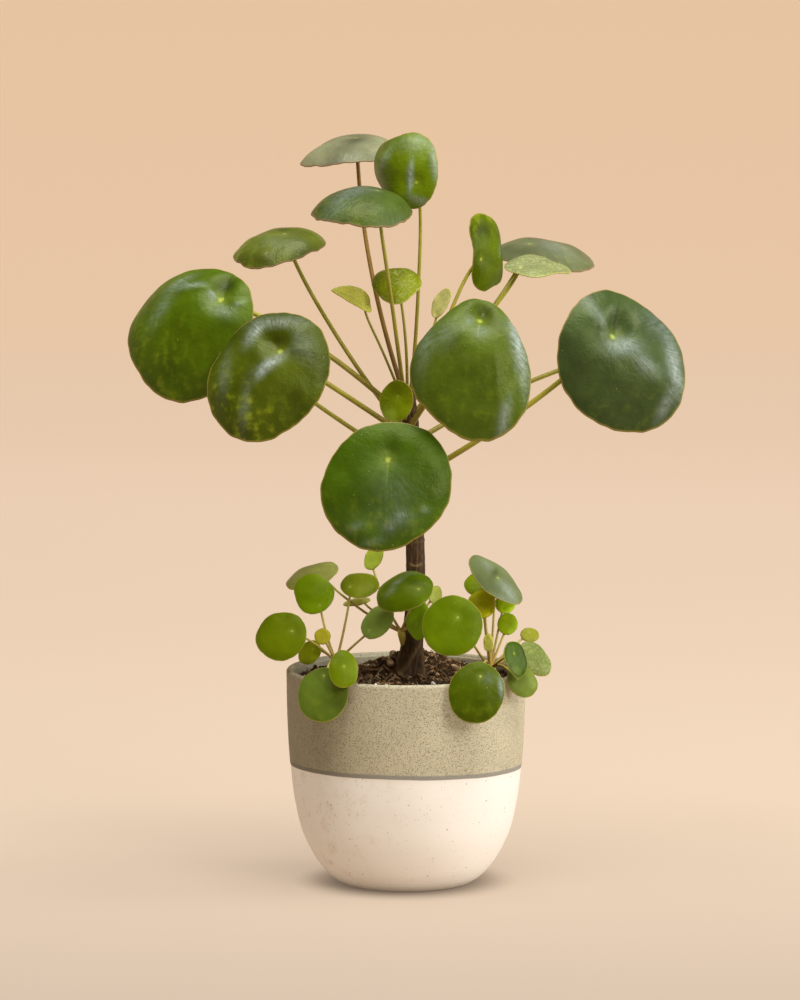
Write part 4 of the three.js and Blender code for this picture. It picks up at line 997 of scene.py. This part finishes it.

# %% [markdown]
# ## Crown
# The eighteen crown leaves, in the order of their numbers. Each says where the stalk meets the blade, the
# blade's length and width, which way its face leans and its tip points, the share of its length behind the
# stalk, its green, how its stalk bows, where on the trunk that stalk starts and how thick it is, and last
# what is special to it. Each green was set so that the leaf's colour comes out as it looks from the front,
# so it also holds painted light: thin leaves that light shines through are given a brighter green.

# %% Crown leaves
CROWN = [
    leaf_of((-31.5, 62, 464.5), (61.5, 61.5), (97, 74, 190), 0.4, (117, 118, 89), (-6, 0, 0),
        (-1.2, 1.6, 307), 1.35, dome=0.16, dimple=0.03, roll=0.4, blister=0.01,
        rim=[1, 1, 1, 0.93, 0.97, 1, 1, 1],
        sheen=[(-0.885, 0.521, 0.209, 0.203, -111, 0.5), (-0.789, 0.236, 0.274, 0.248, -52, 0.45),
        (-0.155, 0.024, 0.107, 0.126, -132, -0.35), (-0.064, -0.006, 0.155, 0.202, -132, -0.4),
        (-0.61, 0.303, 0.166, 0.121, -43, 0.4), (-1.085, 0.299, 0.165, 0.127, -96, -0.35)]),
    leaf_of((6.5, -5, 439.5), (53.5, 43.5), (170, 22, 122), 0.31, (88, 107, 2), (3, 6, 0), (2, -0.6, 301),
        1.1, dome=0.14, dimple=0.04, roll=0.5, rim=[0.9, 0.98, 0.95, 1.32, 1.04, 0.97, 0.88, 0.82],
        dents=[(-0.114, 0.09, 0.204, 0.083, 40, -0.03), (-0.103, 0.305, 0.205, 0.069, 24, 0.02),
        (0.356, 0.255, 0.382, 0.083, 40, -0.02)],
        sheen=[(-0.016, 0.114, 0.179, 0.036, 51, 0.95), (0.265, 0.465, 0.22, 0.116, -36, 0.3),
        (0.327, 0.085, 0.221, 0.041, -113, 0.6), (-0.093, -0.228, 0.138, 0.051, -55, 0.5),
        (-0.21, 0.543, 0.166, 0.069, 24, 0.35)]),
    leaf_of((-17.5, -28, 435.5), (63, 63), (84, 71, 185), 0.35, (57, 73, 14), (0, -8, 0), (-0.5, -3.2, 302),
        1.2, dome=0.2, dimple=0.02, roll=0.7, rim=[1, 1, 0.95, 0.92, 0.97, 0.97, 1, 1],
        sheen=[(0.01, 0.359, 0.274, 0.133, -59, 0.27), (-0.341, 0.785, 0.262, 0.098, -42, 0.2),
        (-0.754, 0.173, 0.321, 0.195, -42, 0.33), (0.036, 0.088, 0.135, 0.183, -99, 0.14)]),
    leaf_of((-76, 15, 406.5), (59, 56.5), (97, 67, 190), 0.42, (83, 92, 24), (-3, 0, -5), (0, 1, 284), 1.3,
        spots=0.9, dome=0.16, dimple=0.03, roll=0.5, blister=0.016, rim=[1, 1, 0.97, 1, 0.96, 0.95, 1.02, 1],
        sheen=[(-0.212, 0.125, 0.211, 0.154, -139, 0.12), (-0.745, 0.409, 0.196, 0.112, -104, 0.12),
        (-0.271, -0.119, 0.103, 0.095, -118, 0.08), (0.123, -0.017, 0.069, 0.095, -118, -0.45),
        (-0.405, 0.277, 0.103, 0.127, -118, -0.35)]),
    leaf_of((-114.5, -15, 367.3), (88.5, 86), (125, 26, 214), 0.2, (68, 89, 2), (-3, 0, 11), (-1, -1, 293),
        1.6, spots=0.55, dome=0.1, dimple=0.04, side=0.5, rim=[0.97, 0.99, 0.95, 1.02, 1, 0.97, 1, 0.98],
        ridges=[(118, 0.048, 0.07, 0.3)],
        dents=[(0.108, -0.088, 0.09, 0.08, -61, -0.05), (0.181, 0.083, 0.118, 0.035, -122, 0.016),
        (0.299, 0.263, 0.157, 0.065, -100, 0.012), (-0.113, -0.096, 0.092, 0.03, -138, 0.012),
        (-0.079, -0.141, 0.066, 0.024, -122, -0.008), (-0.002, 0.353, 0.286, 0.081, -72, 0.006)],
        sheen=[(0.226, 0.117, 0.103, 0.028, -122, 0.5), (0.336, 0.173, 0.1, 0.04, -100, 0.35),
        (0.063, 0.032, 0.048, 0.029, -21, 0.7), (-0.079, 0.038, 0.101, 0.045, -147, 0.35),
        (-0.113, -0.096, 0.043, 0.032, -95, 0.3), (0.243, 0.381, 0.159, 0.056, -66, 0.22),
        (0.1, -0.084, 0.08, 0.072, -61, -0.8)]),
    leaf_of((-77, -50, 338), (83.5, 75), (120, 18, 245), 0.32, (66, 77, 4), (0, 0, 0), (1, -2, 281), 1.6,
        spots=0.95, dome=0.08, dimple=0.04, blister=0.01, rim=[1.06, 1.08, 1.03, 0.88, 0.87, 0.97, 1, 1.02],
        ridges=[(163, 0.016, 0.06, 0.5)],
        dents=[(0.098, -0.054, 0.11, 0.075, -8, -0.045), (0.253, -0.052, 0.08, 0.07, -95, 0.016),
        (-0.137, -0.07, 0.11, 0.041, -158, 0.012)],
        sheen=[(0.271, -0.053, 0.094, 0.049, -95, 0.75), (0.124, -0.218, 0.204, 0.057, -158, 0.35),
        (0.019, 0.115, 0.116, 0.041, -118, 0.8), (0.057, 0.218, 0.063, 0.032, -95, 0.5),
        (0.074, 0.495, 0.176, 0.04, -75, 0.19), (0.348, 0.318, 0.177, 0.047, -70, 0.19),
        (-0.142, -0.116, 0.132, 0.093, 144, 0.24), (0.055, -0.054, 0.093, 0.066, -137, -0.26),
        (-0.252, 0.32, 0.173, 0.146, -158, -0.2)]),
    leaf_of((45, -60, 357.5), (92, 74), (90, 26, 262), 0.2, (69, 86, 14), (0, 0, 0), (3, -2, 288), 1.6,
        spots=0.25, dome=0.14, dimple=0.04, rim=[1.05, 0.92, 0.94, 1.02, 0.94, 0.8, 0.96, 0.88],
        ridges=[(75, 0.063, 0.09, 0.26)],
        dents=[(-0.012, -0.087, 0.08, 0.06, -92, -0.045), (0.232, 0.037, 0.137, 0.056, -140, 0.012),
        (-0.184, 0.487, 0.266, 0.026, 101, 0.006), (-0.32, 0.386, 0.283, 0.044, 101, 0.012),
        (0.095, 0.128, 0.09, 0.033, -150, 0.007), (0.268, 0.234, 0.104, 0.033, -156, 0.005)],
        sheen=[(0.379, 0.231, 0.183, 0.052, -92, 0.24), (0.235, 0.138, 0.114, 0.076, -110, 0.21),
        (-0.013, 0.106, 0.059, 0.058, -173, 0.34), (-0.303, 0.179, 0.232, 0.044, 107, 0.9),
        (-0.266, 0.679, 0.124, 0.037, -97, 0.5), (0.072, 0.016, 0.079, 0.039, -124, 0.3),
        (-0.013, -0.078, 0.075, 0.052, -92, -0.5)]),
    leaf_of((128, -10, 344), (91, 81), (40, 20, 290), 0.32, (57, 72, 35), (2, 0, -4), (5.5, 0, 255), 1.7,
        spots=0.25, dome=0.06, dimple=0.06, blister=0.008,
        rim=[0.98, 0.93, 0.99, 1.05, 1.01, 0.98, 1.03, 0.99], ridges=[(41, 0.048, 0.08, 0.5)],
        dents=[(-0.081, -0.091, 0.13, 0.09, -121, -0.075), (-0.233, -0.023, 0.117, 0.072, -168, 0.016),
        (0.091, -0.127, 0.116, 0.055, 122, 0.018), (-0.195, 0.432, 0.19, 0.054, 90, 0.01),
        (-0.253, 0.177, 0.145, 0.047, 122, 0.008)],
        sheen=[(0.06, -0.164, 0.173, 0.047, 113, 0.29), (0.094, -0.33, 0.072, 0.039, 111, 0.21),
        (-0.026, 0.094, 0.121, 0.067, 163, 0.6), (-0.372, -0.005, 0.144, 0.11, 111, 0.2),
        (-0.365, 0.35, 0.206, 0.062, 79, 0.7), (-0.199, 0.589, 0.108, 0.037, -131, 0.5),
        (-0.146, 0.286, 0.101, 0.055, 117, 0.45), (-0.07, -0.102, 0.085, 0.058, -140, -0.5),
        (0.222, 0.44, 0.212, 0.15, 163, -0.2)]),
    leaf_of((-11, -70, 273.5), (80.5, 80), (90, 8, 268), 0.3, (58, 82, 2), (0, 0, -4), (4.5, -2, 247), 1.6,
        spots=0.45, dome=0.05, dimple=0.02, rim=[1, 1.03, 0.97, 0.91, 0.98, 1.04, 1, 0.95],
        ridges=[(92, 0.155, 0.16, 0.06)],
        dents=[(-0.004, -0.076, 0.046, 0.038, -88, -0.01), (-0.012, 0.139, 0.154, 0.023, 92, -0.003)],
        sheen=[(-0.032, 0.507, 0.053, 0.038, -148, 0.26), (-0.121, 0.435, 0.061, 0.046, -158, 0.21),
        (-0.294, 0.375, 0.038, 0.031, -178, 0.21), (0.234, 0.517, 0.061, 0.031, -158, 0.18),
        (0.093, 0.627, 0.084, 0.031, -168, 0.2), (-0.037, 0.215, 0.23, 0.152, 122, 0.1),
        (-0.015, 0.462, 0.258, 0.108, -178, 0.07)]),
    leaf_of((-5, -25, 308.5), (26, 21), (150, 20, 270), 0.35, (111, 125, 10), (0, 0, 0), (0.5, -2, 291), 0.9,
        dome=-0.15, dimple=0.02),
    leaf_of((47, 20, 390.5), (49, 38), (2, 57, 97), 0.42, (78, 94, 2), (-1, 0, 3), (3.4, 2, 300), 1.2,
        spots=1.2, dome=0.06, dimple=0.02, off=0.28, rim=[1.1, 1, 0.95, 1.05, 0.9, 1.15, 0.95, 1.15],
        sheen=[(0.511, 0.06, 0.242, 0.054, 63, 0.21), (0.147, 0.415, 0.13, 0.326, 77, -0.55),
        (0.337, -0.09, 0.072, 0.245, 77, -0.2)]),
    leaf_of((78.7, 64, 397.5), (62.5, 57.5), (87, 69, -8), 0.34, (91, 96, 63), (0, 0, -3), (4, 2.5, 290), 1.4,
        dome=0.12, dimple=0.02, rim=[0.9, 0.97, 1.02, 1.08, 1.05, 0.88, 1, 1],
        sheen=[(0, 0.284, 0.224, 0.169, 69, 0.2)]),
    leaf_of((71.5, 10, 385.5), (41.5, 27.5), (86, 60, -3), 0.24, (123, 128, 81), (0, 0, 0), (4, 0.5, 294), 1,
        freckles=0.9, dome=0.02, fold=0.2, rim=[1.04, 0.78, 1, 0.72, 1, 1, 1, 1]),
    leaf_of((-5.5, -3, 382.5), (32.5, 32), (90, 48, 275), 0.28, (111, 120, 2), (2, 0, 0), (0.6, -2.6, 305),
        0.9, freckles=0.8, dome=0.14, rim=[0.98, 0.92, 0.94, 0.8, 0.92, 1, 1.05, 1.12]),
    leaf_of((-26, -5, 364), (30, 16), (60, 50, 150), 0.25, (186, 182, 74), (0, 0, 0), (-1.6, -1.2, 303), 0.8,
        freckles=0.5, dome=0.05, fold=0.45, rim=[1.05, 0.8, 0.9, 1.05, 1, 1.1, 0.8, 0.85]),
    leaf_of((19, 15, 356.5), (19.5, 10.5), (160, 30, 63), 0.12, (180, 177, 108), (0, 0, 0), (1.6, 2.2, 307),
        0.8, dome=0, fold=0.3),
    leaf_of((-77, 5, 317), (52.5, 50), (130, 30, 225), 0.3, (78, 98, 24), (0, 0, -2), (4, 1, 262), 1.4,
        dome=0.12),
    leaf_of((126.5, 45, 330), (57, 53.5), (45, 30, 300), 0.3, (78, 98, 24), (-1, 0, 4), (4.5, 1.5, 277), 1.5,
        dome=0.12),
]
GREY_GREEN, FRESH, PALE = (1, 3, 4, 12), (10, 11), (13, 14, 15, 16)
LEAF_MATERIALS = {"leaf_green": leaf_green, "leaf_grey_green": leaf_grey_green, "leaf_pale": leaf_pale}
STALK_TONES = ((136, 120, 34), (154, 150, 40))
BROWN_STALKS = {1: ((124, 94, 32), (140, 104, 36))}
FACE_ROWS, FACE_SECTORS, ROD_ROWS, ROD_SIDES = 34, 112, 60, 16
for number, leaf in enumerate(CROWN, 1):
    name = f"leaf_{number:02d}"
    slot = "leaf_grey_green" if number in GREY_GREEN else "leaf_pale" if number in PALE else "leaf_green"
    material = leaf_fresh if number in FRESH else LEAF_MATERIALS[slot]
    face = blade(leaf, PHASE_STEP * (number - 1), FACE_ROWS, FACE_SECTORS)
    dress(new_mesh(f"{name}_face", [face], [material]), slot, f"{name}_blade")
    rod = stalk(leaf, ROD_ROWS, ROD_SIDES, BROWN_STALKS.get(number, STALK_TONES))
    dress(new_mesh(f"{name}_rod", [rod], [leaf_stalk]), "leaf_stalk", f"{name}_stalk")

# %% [markdown]
# ## Young plants
# Young plants come up from the roots beside the pot's rim, and a shoot grows from the trunk's foot. Each is
# one growing piece: a short stem, thin stalks that fan out from its top, and small thin leaves of different
# ages.

# %% Young plants
# each plant: the stem's root and top, its radius, the stalks' radius, the stem's tones and its leaves
SIDE_STEM_TONES, SHOOT_TONES = ((106, 76, 28), (136, 106, 42)), ((142, 124, 54), (222, 208, 98))
# the leaves' greens hold painted light too: leaves behind others that light shines through get brighter
# greens
YOUNG = {
    "young_plant_left": ((-43, 6, 112), (-44, 5, 141), 2.2, 0.75, SIDE_STEM_TONES, [
        leaf_of((-71, -15, 160.5), (33, 31.5), (120, 22, 195), 0.27, (96, 112, 2), (0, 0, 2), dome=0.06,
            rim=[0.94, 0.96, 1, 1, 1.05, 1, 0.98, 0.95]),
        leaf_of((-54, 5, 174), (27, 25.5), (100, 18, 118), 0.18, (120, 150, 2), (-1, 0, 0), dome=0.06,
            rim=[0.98, 0.99, 1.08, 1, 0.93, 1, 0.93, 0.97]),
        leaf_of((-35, 10, 185), (25, 24.5), (98, 50, 27), 0.24, (115, 126, 14), (1, 0, 0), dome=0.08,
            rim=[1, 1, 1, 1, 1, 0.95, 0.95, 1]),
        leaf_of((-23, -8, 160), (24, 18), (140, 25, 50), 0.2, (126, 148, 63), dome=0.06,
            sheen=[(-0.018, -1.056, 0.182, 0.064, 123, 0.5), (0.38, -1.253, 0.273, 0.096, 123, -0.3)]),
        leaf_of((-51, -3, 153), (11, 10), (120, 30, 120), 0.2, (166, 158, 35), dome=0),
        leaf_of((-58.5, 6, 146), (16.5, 14.5), (150, 30, 215), 0.3, (141, 152, 16), (0, 0, 2), dome=0.05),
        leaf_of((-38, -71, 146.5), (24, 18), (60, 20, 270), 0.43, (96, 114, 2), (2, 0, 6), dome=0.08,
            rim=[1, 1, 0.94, 1, 1, 1, 1.04, 1]),
        leaf_of((-50.5, -62.5, 139.5), (34, 31.5), (125, 20, 265), 0.15, (82, 100, 29), (0, 0, 4), dome=0.04),
    ]),
    "shoot_at_foot": ((0, -1, 147), (-3.5, -5, 160), 2.6, 0.8, SHOOT_TONES, [
        leaf_of((-55.5, 30, 193.5), (34.5, 31.5), (107, 65, 198), 0.36, (153, 155, 77), (0, 2, -5),
            dome=0.08),
        leaf_of((-28, 28, 175.5), (17.5, 15), (95, 78, 190), 0.3, (225, 225, 101), (0, 0, -1), dome=0.1),
        leaf_of((-22.5, 30, 197.5), (16.5, 12.5), (150, 35, 62), 0.25, (181, 204, 69), (-2, 0, 0), dome=0),
        leaf_of((8, -27, 188.5), (36.5, 35), (105, 43, 175), 0.22, (83, 104, 2), dome=0.13,
            rim=[1, 1, 1, 1, 0.93, 0.95, 1, 1],
            sheen=[(0.13, 0.436, 0.145, 0.057, -37, 0.45), (-0.084, 0.506, 0.107, 0.069, -44, 0.3),
            (0.403, 0.255, 0.139, 0.07, -70, 0.15), (0.143, 0.129, 0.137, 0.086, -107, -0.25)]),
        leaf_of((6.5, -20, 165.5), (26.5, 16.5), (160, 30, 90), 0.4, (131, 169, 23), dome=0.08,
            rim=[1, 1, 1, 1, 1, 0.87, 0.93, 1]),
        leaf_of((17.5, -11, 181), (12.5, 9), (20, 40, 60), 0.3, (179, 188, 85), (1, -6, 0), dome=0),
    ]),
    "young_plant_right": ((53, -4, 112), (52.5, -5, 137.5), 2.2, 0.75, SIDE_STEM_TONES, [
        leaf_of((32, -40, 172.5), (38, 37), (90, 12, 235), 0.34, (95, 118, 2), (0, 0, -1), dome=0.04),
        leaf_of((45.5, -76, 141), (38, 34), (90, 15, 255), 0.24, (69, 85, 2), (0, 0, 7), dome=0.08,
            sheen=[(-0.382, 0.093, 0.174, 0.041, -71, 0.6), (-0.151, 0.009, 0.119, 0.104, -165, 0.16)]),
        leaf_of((57.5, 0, 192), (42, 35.5), (48, 61, -42), 0.5, (98, 109, 68), dome=0.05,
            rim=[1, 0.95, 1, 1, 1, 1, 1, 1],
            sheen=[(0.079, 0.275, 0.215, 0.166, 74, 0.5), (-0.073, -0.244, 0.13, 0.134, 84, 0.35),
            (-0.055, -0.084, 0.164, 0.052, -175, -0.55), (0.387, 0.272, 0.139, 0.082, 114, 0.3)]),
        leaf_of((47, 16, 184), (19, 17.5), (100, 40, 120), 0.3, (144, 170, 2), dome=0.05),
        leaf_of((49, 3, 172.5), (20, 17.5), (120, 30, 120), 0.3, (225, 225, 20), freckles=0.4, dome=0.05),
        leaf_of((61.5, 8, 173), (15, 12.5), (60, 30, 60), 0.3, (170, 205, 2), freckles=0.3, dome=0.05),
        leaf_of((63.5, 2, 161.5), (14, 12.5), (90, 20, 80), 0.4, (146, 173, 17), dome=0.05),
        leaf_of((76, 10, 154.5), (12.5, 10), (60, 35, 10), 0.3, (141, 143, 35), (0, 0, 1), freckles=0.6,
            dome=0.05),
        leaf_of((66.7, -47, 151), (23, 18.5), (20, 45, -80), 0.33, (55, 79, 2), (0, 0, 1), dome=0.02,
            fold=0.1, rim=[0.95, 0.88, 1, 1.05, 1.1, 1.1, 1, 1],
            sheen=[(-0.315, 0.059, 0.27, 0.127, -90, -0.3)]),
        leaf_of((78.5, 0, 145.5), (24, 19.5), (50, 35, -42), 0.3, (123, 136, 69), (0, 0, 2), freckles=0.7,
            dome=0.05, rim=[1.1, 1.12, 1.05, 0.8, 0.76, 0.95, 1, 1]),
        leaf_of((69, -43, 134.5), (21, 19.5), (40, 30, -20), 0.3, (102, 118, 43), (0, 0, 5), dome=0.08),
        leaf_of((51, -20, 150.5), (11, 7.5), (180, 40, 90), 0.2, (225, 225, 99), dome=0),
    ]),
}
YOUNG_TONES = ((178, 140, 66), (198, 196, 96))
YOUNG_DIMPLE = 0.012
STEM_ROWS, STEM_SIDES = 12, 16
YOUNG_ROWS, YOUNG_SECTORS, YOUNG_ROD_ROWS, YOUNG_ROD_SIDES = 18, 60, 36, 10
FORK = 0.1
for name, (root, hub, stem_radius, stalk_radius, stem_tones, leaves) in YOUNG.items():
    root, hub = np.array(root, float), np.array(hub, float)
    share = np.linspace(0, 1, STEM_ROWS)
    girth = stem_radius * np.interp(share, [0, 0.8, 1], [1, 1, 0.7])
    skins = [tube(root + (hub - root) * share[:, None], girth, STEM_SIDES, *stem_tones, 1, **BARE)]
    for number, leaf in enumerate(leaves):
        leaf.update(foot=hub + FORK * (root - hub), radius=stalk_radius)
        leaf["form"]["dimple"] = YOUNG_DIMPLE
        skins.append(blade(leaf, PHASE_STEP * number, YOUNG_ROWS, YOUNG_SECTORS))
        skins.append(stalk(leaf, YOUNG_ROD_ROWS, YOUNG_ROD_SIDES, YOUNG_TONES, 1))
    dress(new_mesh(f"{name}_growth", skins, [young_leaf, leaf_stalk]), "young_leaf", name)

# %% [markdown]
# ## Studio
# The plant stands on a pale peach floor that sweeps up into a backdrop of the same colour. Soft lights from
# the upper right in front, from above and from the right shape it, and the pale surroundings fill the
# shadows.

# %% Floor and backdrop in one sweep
BACK_START, BACK_RADIUS = 4.6, 1.4
SIDE_START, SIDE_RADIUS = 6.0, 3.0
WALL_TOP = 3.4
ARC_ROWS = 24


def sweep_profile(start, radius):
    """Distance and height along a floor that turns up in a quarter circle: start + r sin a, r (1 - cos a)."""
    arc = np.linspace(0, np.pi / 2, ARC_ROWS)
    distance, height = start + radius * np.sin(arc), radius * (1 - np.cos(arc))
    return np.append(distance, start + radius), np.append(height, WALL_TOP)


back_y, back_z = sweep_profile(BACK_START, BACK_RADIUS)
side_x, side_z = sweep_profile(SIDE_START, SIDE_RADIUS)
sweep_y, sweep_z = np.concatenate([-side_x[::-1], back_y]), np.concatenate([side_z[::-1], back_z])
sweep_x, sweep_side = np.concatenate([-side_x[::-1], side_x]), np.concatenate([side_z[::-1], side_z])
grid = np.stack(np.broadcast_arrays(sweep_x[None], sweep_y[:, None], sweep_z[:, None] + sweep_side[None]), -1)
wide = len(sweep_x)
corner = wide * np.arange(len(sweep_y) - 1)[:, None, None] + np.arange(wide - 1)[None, :, None]
floor_quads = (corner + [0, 1, wide + 1, wide]).reshape(-1, 4)
print("floor faces:", len(floor_quads))

# %% Floor: graded painted shade, more glow further back, and a painted shadow round the pot's foot
NEAR_END, FAR_END = -0.4, 7.2
# the tones paint shade: darker near the front and towards the top of the backdrop, paler between
PAPER_AND_SHADE_TONES = {0.0: (204, 184, 164), 0.094: (230, 207, 182), 0.161: (234, 209, 184), 0.329: (240, 213, 187),
               1.0: (230, 196, 160)}
paper, tree, shader = new_material("backdrop_paper", gloss=0.0, roughness=0.9)
x, y, z = split(tree, object_place(tree))
depth = add_node(tree, "ShaderNodeMapRange", {
    "Value": plus(tree, y, z), "From Min": NEAR_END, "From Max": FAR_END}).outputs[0]
ramp = add_node(tree, "ShaderNodeValToRGB", {"Fac": depth})
stops = ramp.color_ramp.elements
for share, tone in PAPER_AND_SHADE_TONES.items():
    stop = stops[0] if share == 0 else stops[-1] if share == 1 else stops.new(share)
    stop.color = srgb(*tone)
lit = ease(tree, depth, 0.174, 0.376, 0.3, 0.36)
tree.links.new(brightened(tree, ramp.outputs["Color"], lit), shader.inputs["Base Color"])
outwards = vector_calc(tree, "LENGTH", join(tree, x, y))
frontal = vector_calc(tree, "LENGTH", join(tree, x, calc(tree, "MINIMUM", y, 0.0)))
# painted shadow: the glow dims close round the pot's foot
glow = times(tree, ease(tree, depth, 0.174, 0.7, 0.672, 0.8), ease(tree, outwards, 0.034, 0.074, 0.2, 1.0),
             ease(tree, frontal, 5.0, 9.0, 1.0, 0.75))
tree.links.new(brightened(tree, ramp.outputs["Color"], glow), shader.inputs["Emission Color"])
shader.inputs["Emission Strength"].default_value = 1.0
sweep = {"vertices": grid.reshape(-1, 3) / MM, "triangles": NO_TRIANGLES, "quads": floor_quads, "material": 0,
         "data": {}}
floor = new_mesh("floor", [sweep], [paper])
print("stage:", floor.name)

# %% Lights
PLANT_MIDDLE = Vector((0.0, 0.0, 0.25))
LIGHTS = {"key": ((2.7, -3.5, 2.4), 1.9, 112.0, (1.0, 0.98, 0.94)),
          "top": ((0.1, -0.5, 2.6), 1.9, 92.0, (1.0, 0.99, 0.96)),
          "right_window": ((2.2, 0.0, 0.8), 0.8, 26.0, (0.94, 0.97, 1.0))}
SURROUNDINGS, SURROUNDINGS_STRENGTH = (1.0, 0.93, 0.86, 1.0), 0.1
for name, (place, size, power, colour) in LIGHTS.items():
    lamp = bpy.data.lights.new(name, "AREA")
    lamp.size = size
    lamp.energy = power
    lamp.color = colour
    holder = bpy.data.objects.new(name, lamp)
    holder.location = place
    holder.rotation_euler = (PLANT_MIDDLE - Vector(place)).to_track_quat("-Z", "Y").to_euler()
    bpy.context.scene.collection.objects.link(holder)
surroundings = bpy.data.worlds.new("surroundings")
surroundings.use_nodes = True
background = surroundings.node_tree.nodes["Background"]
background.inputs["Color"].default_value = SURROUNDINGS
background.inputs["Strength"].default_value = SURROUNDINGS_STRENGTH
bpy.context.scene.world = surroundings
bpy.context.scene.view_settings.view_transform = "Standard"
print("lights:", list(LIGHTS))

# %% [markdown]
# ## Camera
# The view is from the front, three metres away and a few degrees above the level, with a long lens. That
# keeps the pot's rim a flat ellipse and the trunk upright.

# %% Camera
CAMERA_DISTANCE = 3.0
AIM = np.array([-3.75, 0.0, 241.0]) * MM
SENSOR = 36.0
FOCAL = 172.8
camera_data = bpy.data.cameras.new("camera")
camera_data.sensor_width = SENSOR
camera_data.lens = FOCAL
camera = bpy.data.objects.new("camera", camera_data)
camera.location = AIM + TOWARDS * CAMERA_DISTANCE
camera.rotation_euler = (math.pi / 2 - SIGHT_DROP, 0, 0)
bpy.context.scene.collection.objects.link(camera)
bpy.context.scene.camera = camera
print("camera:", camera.location)
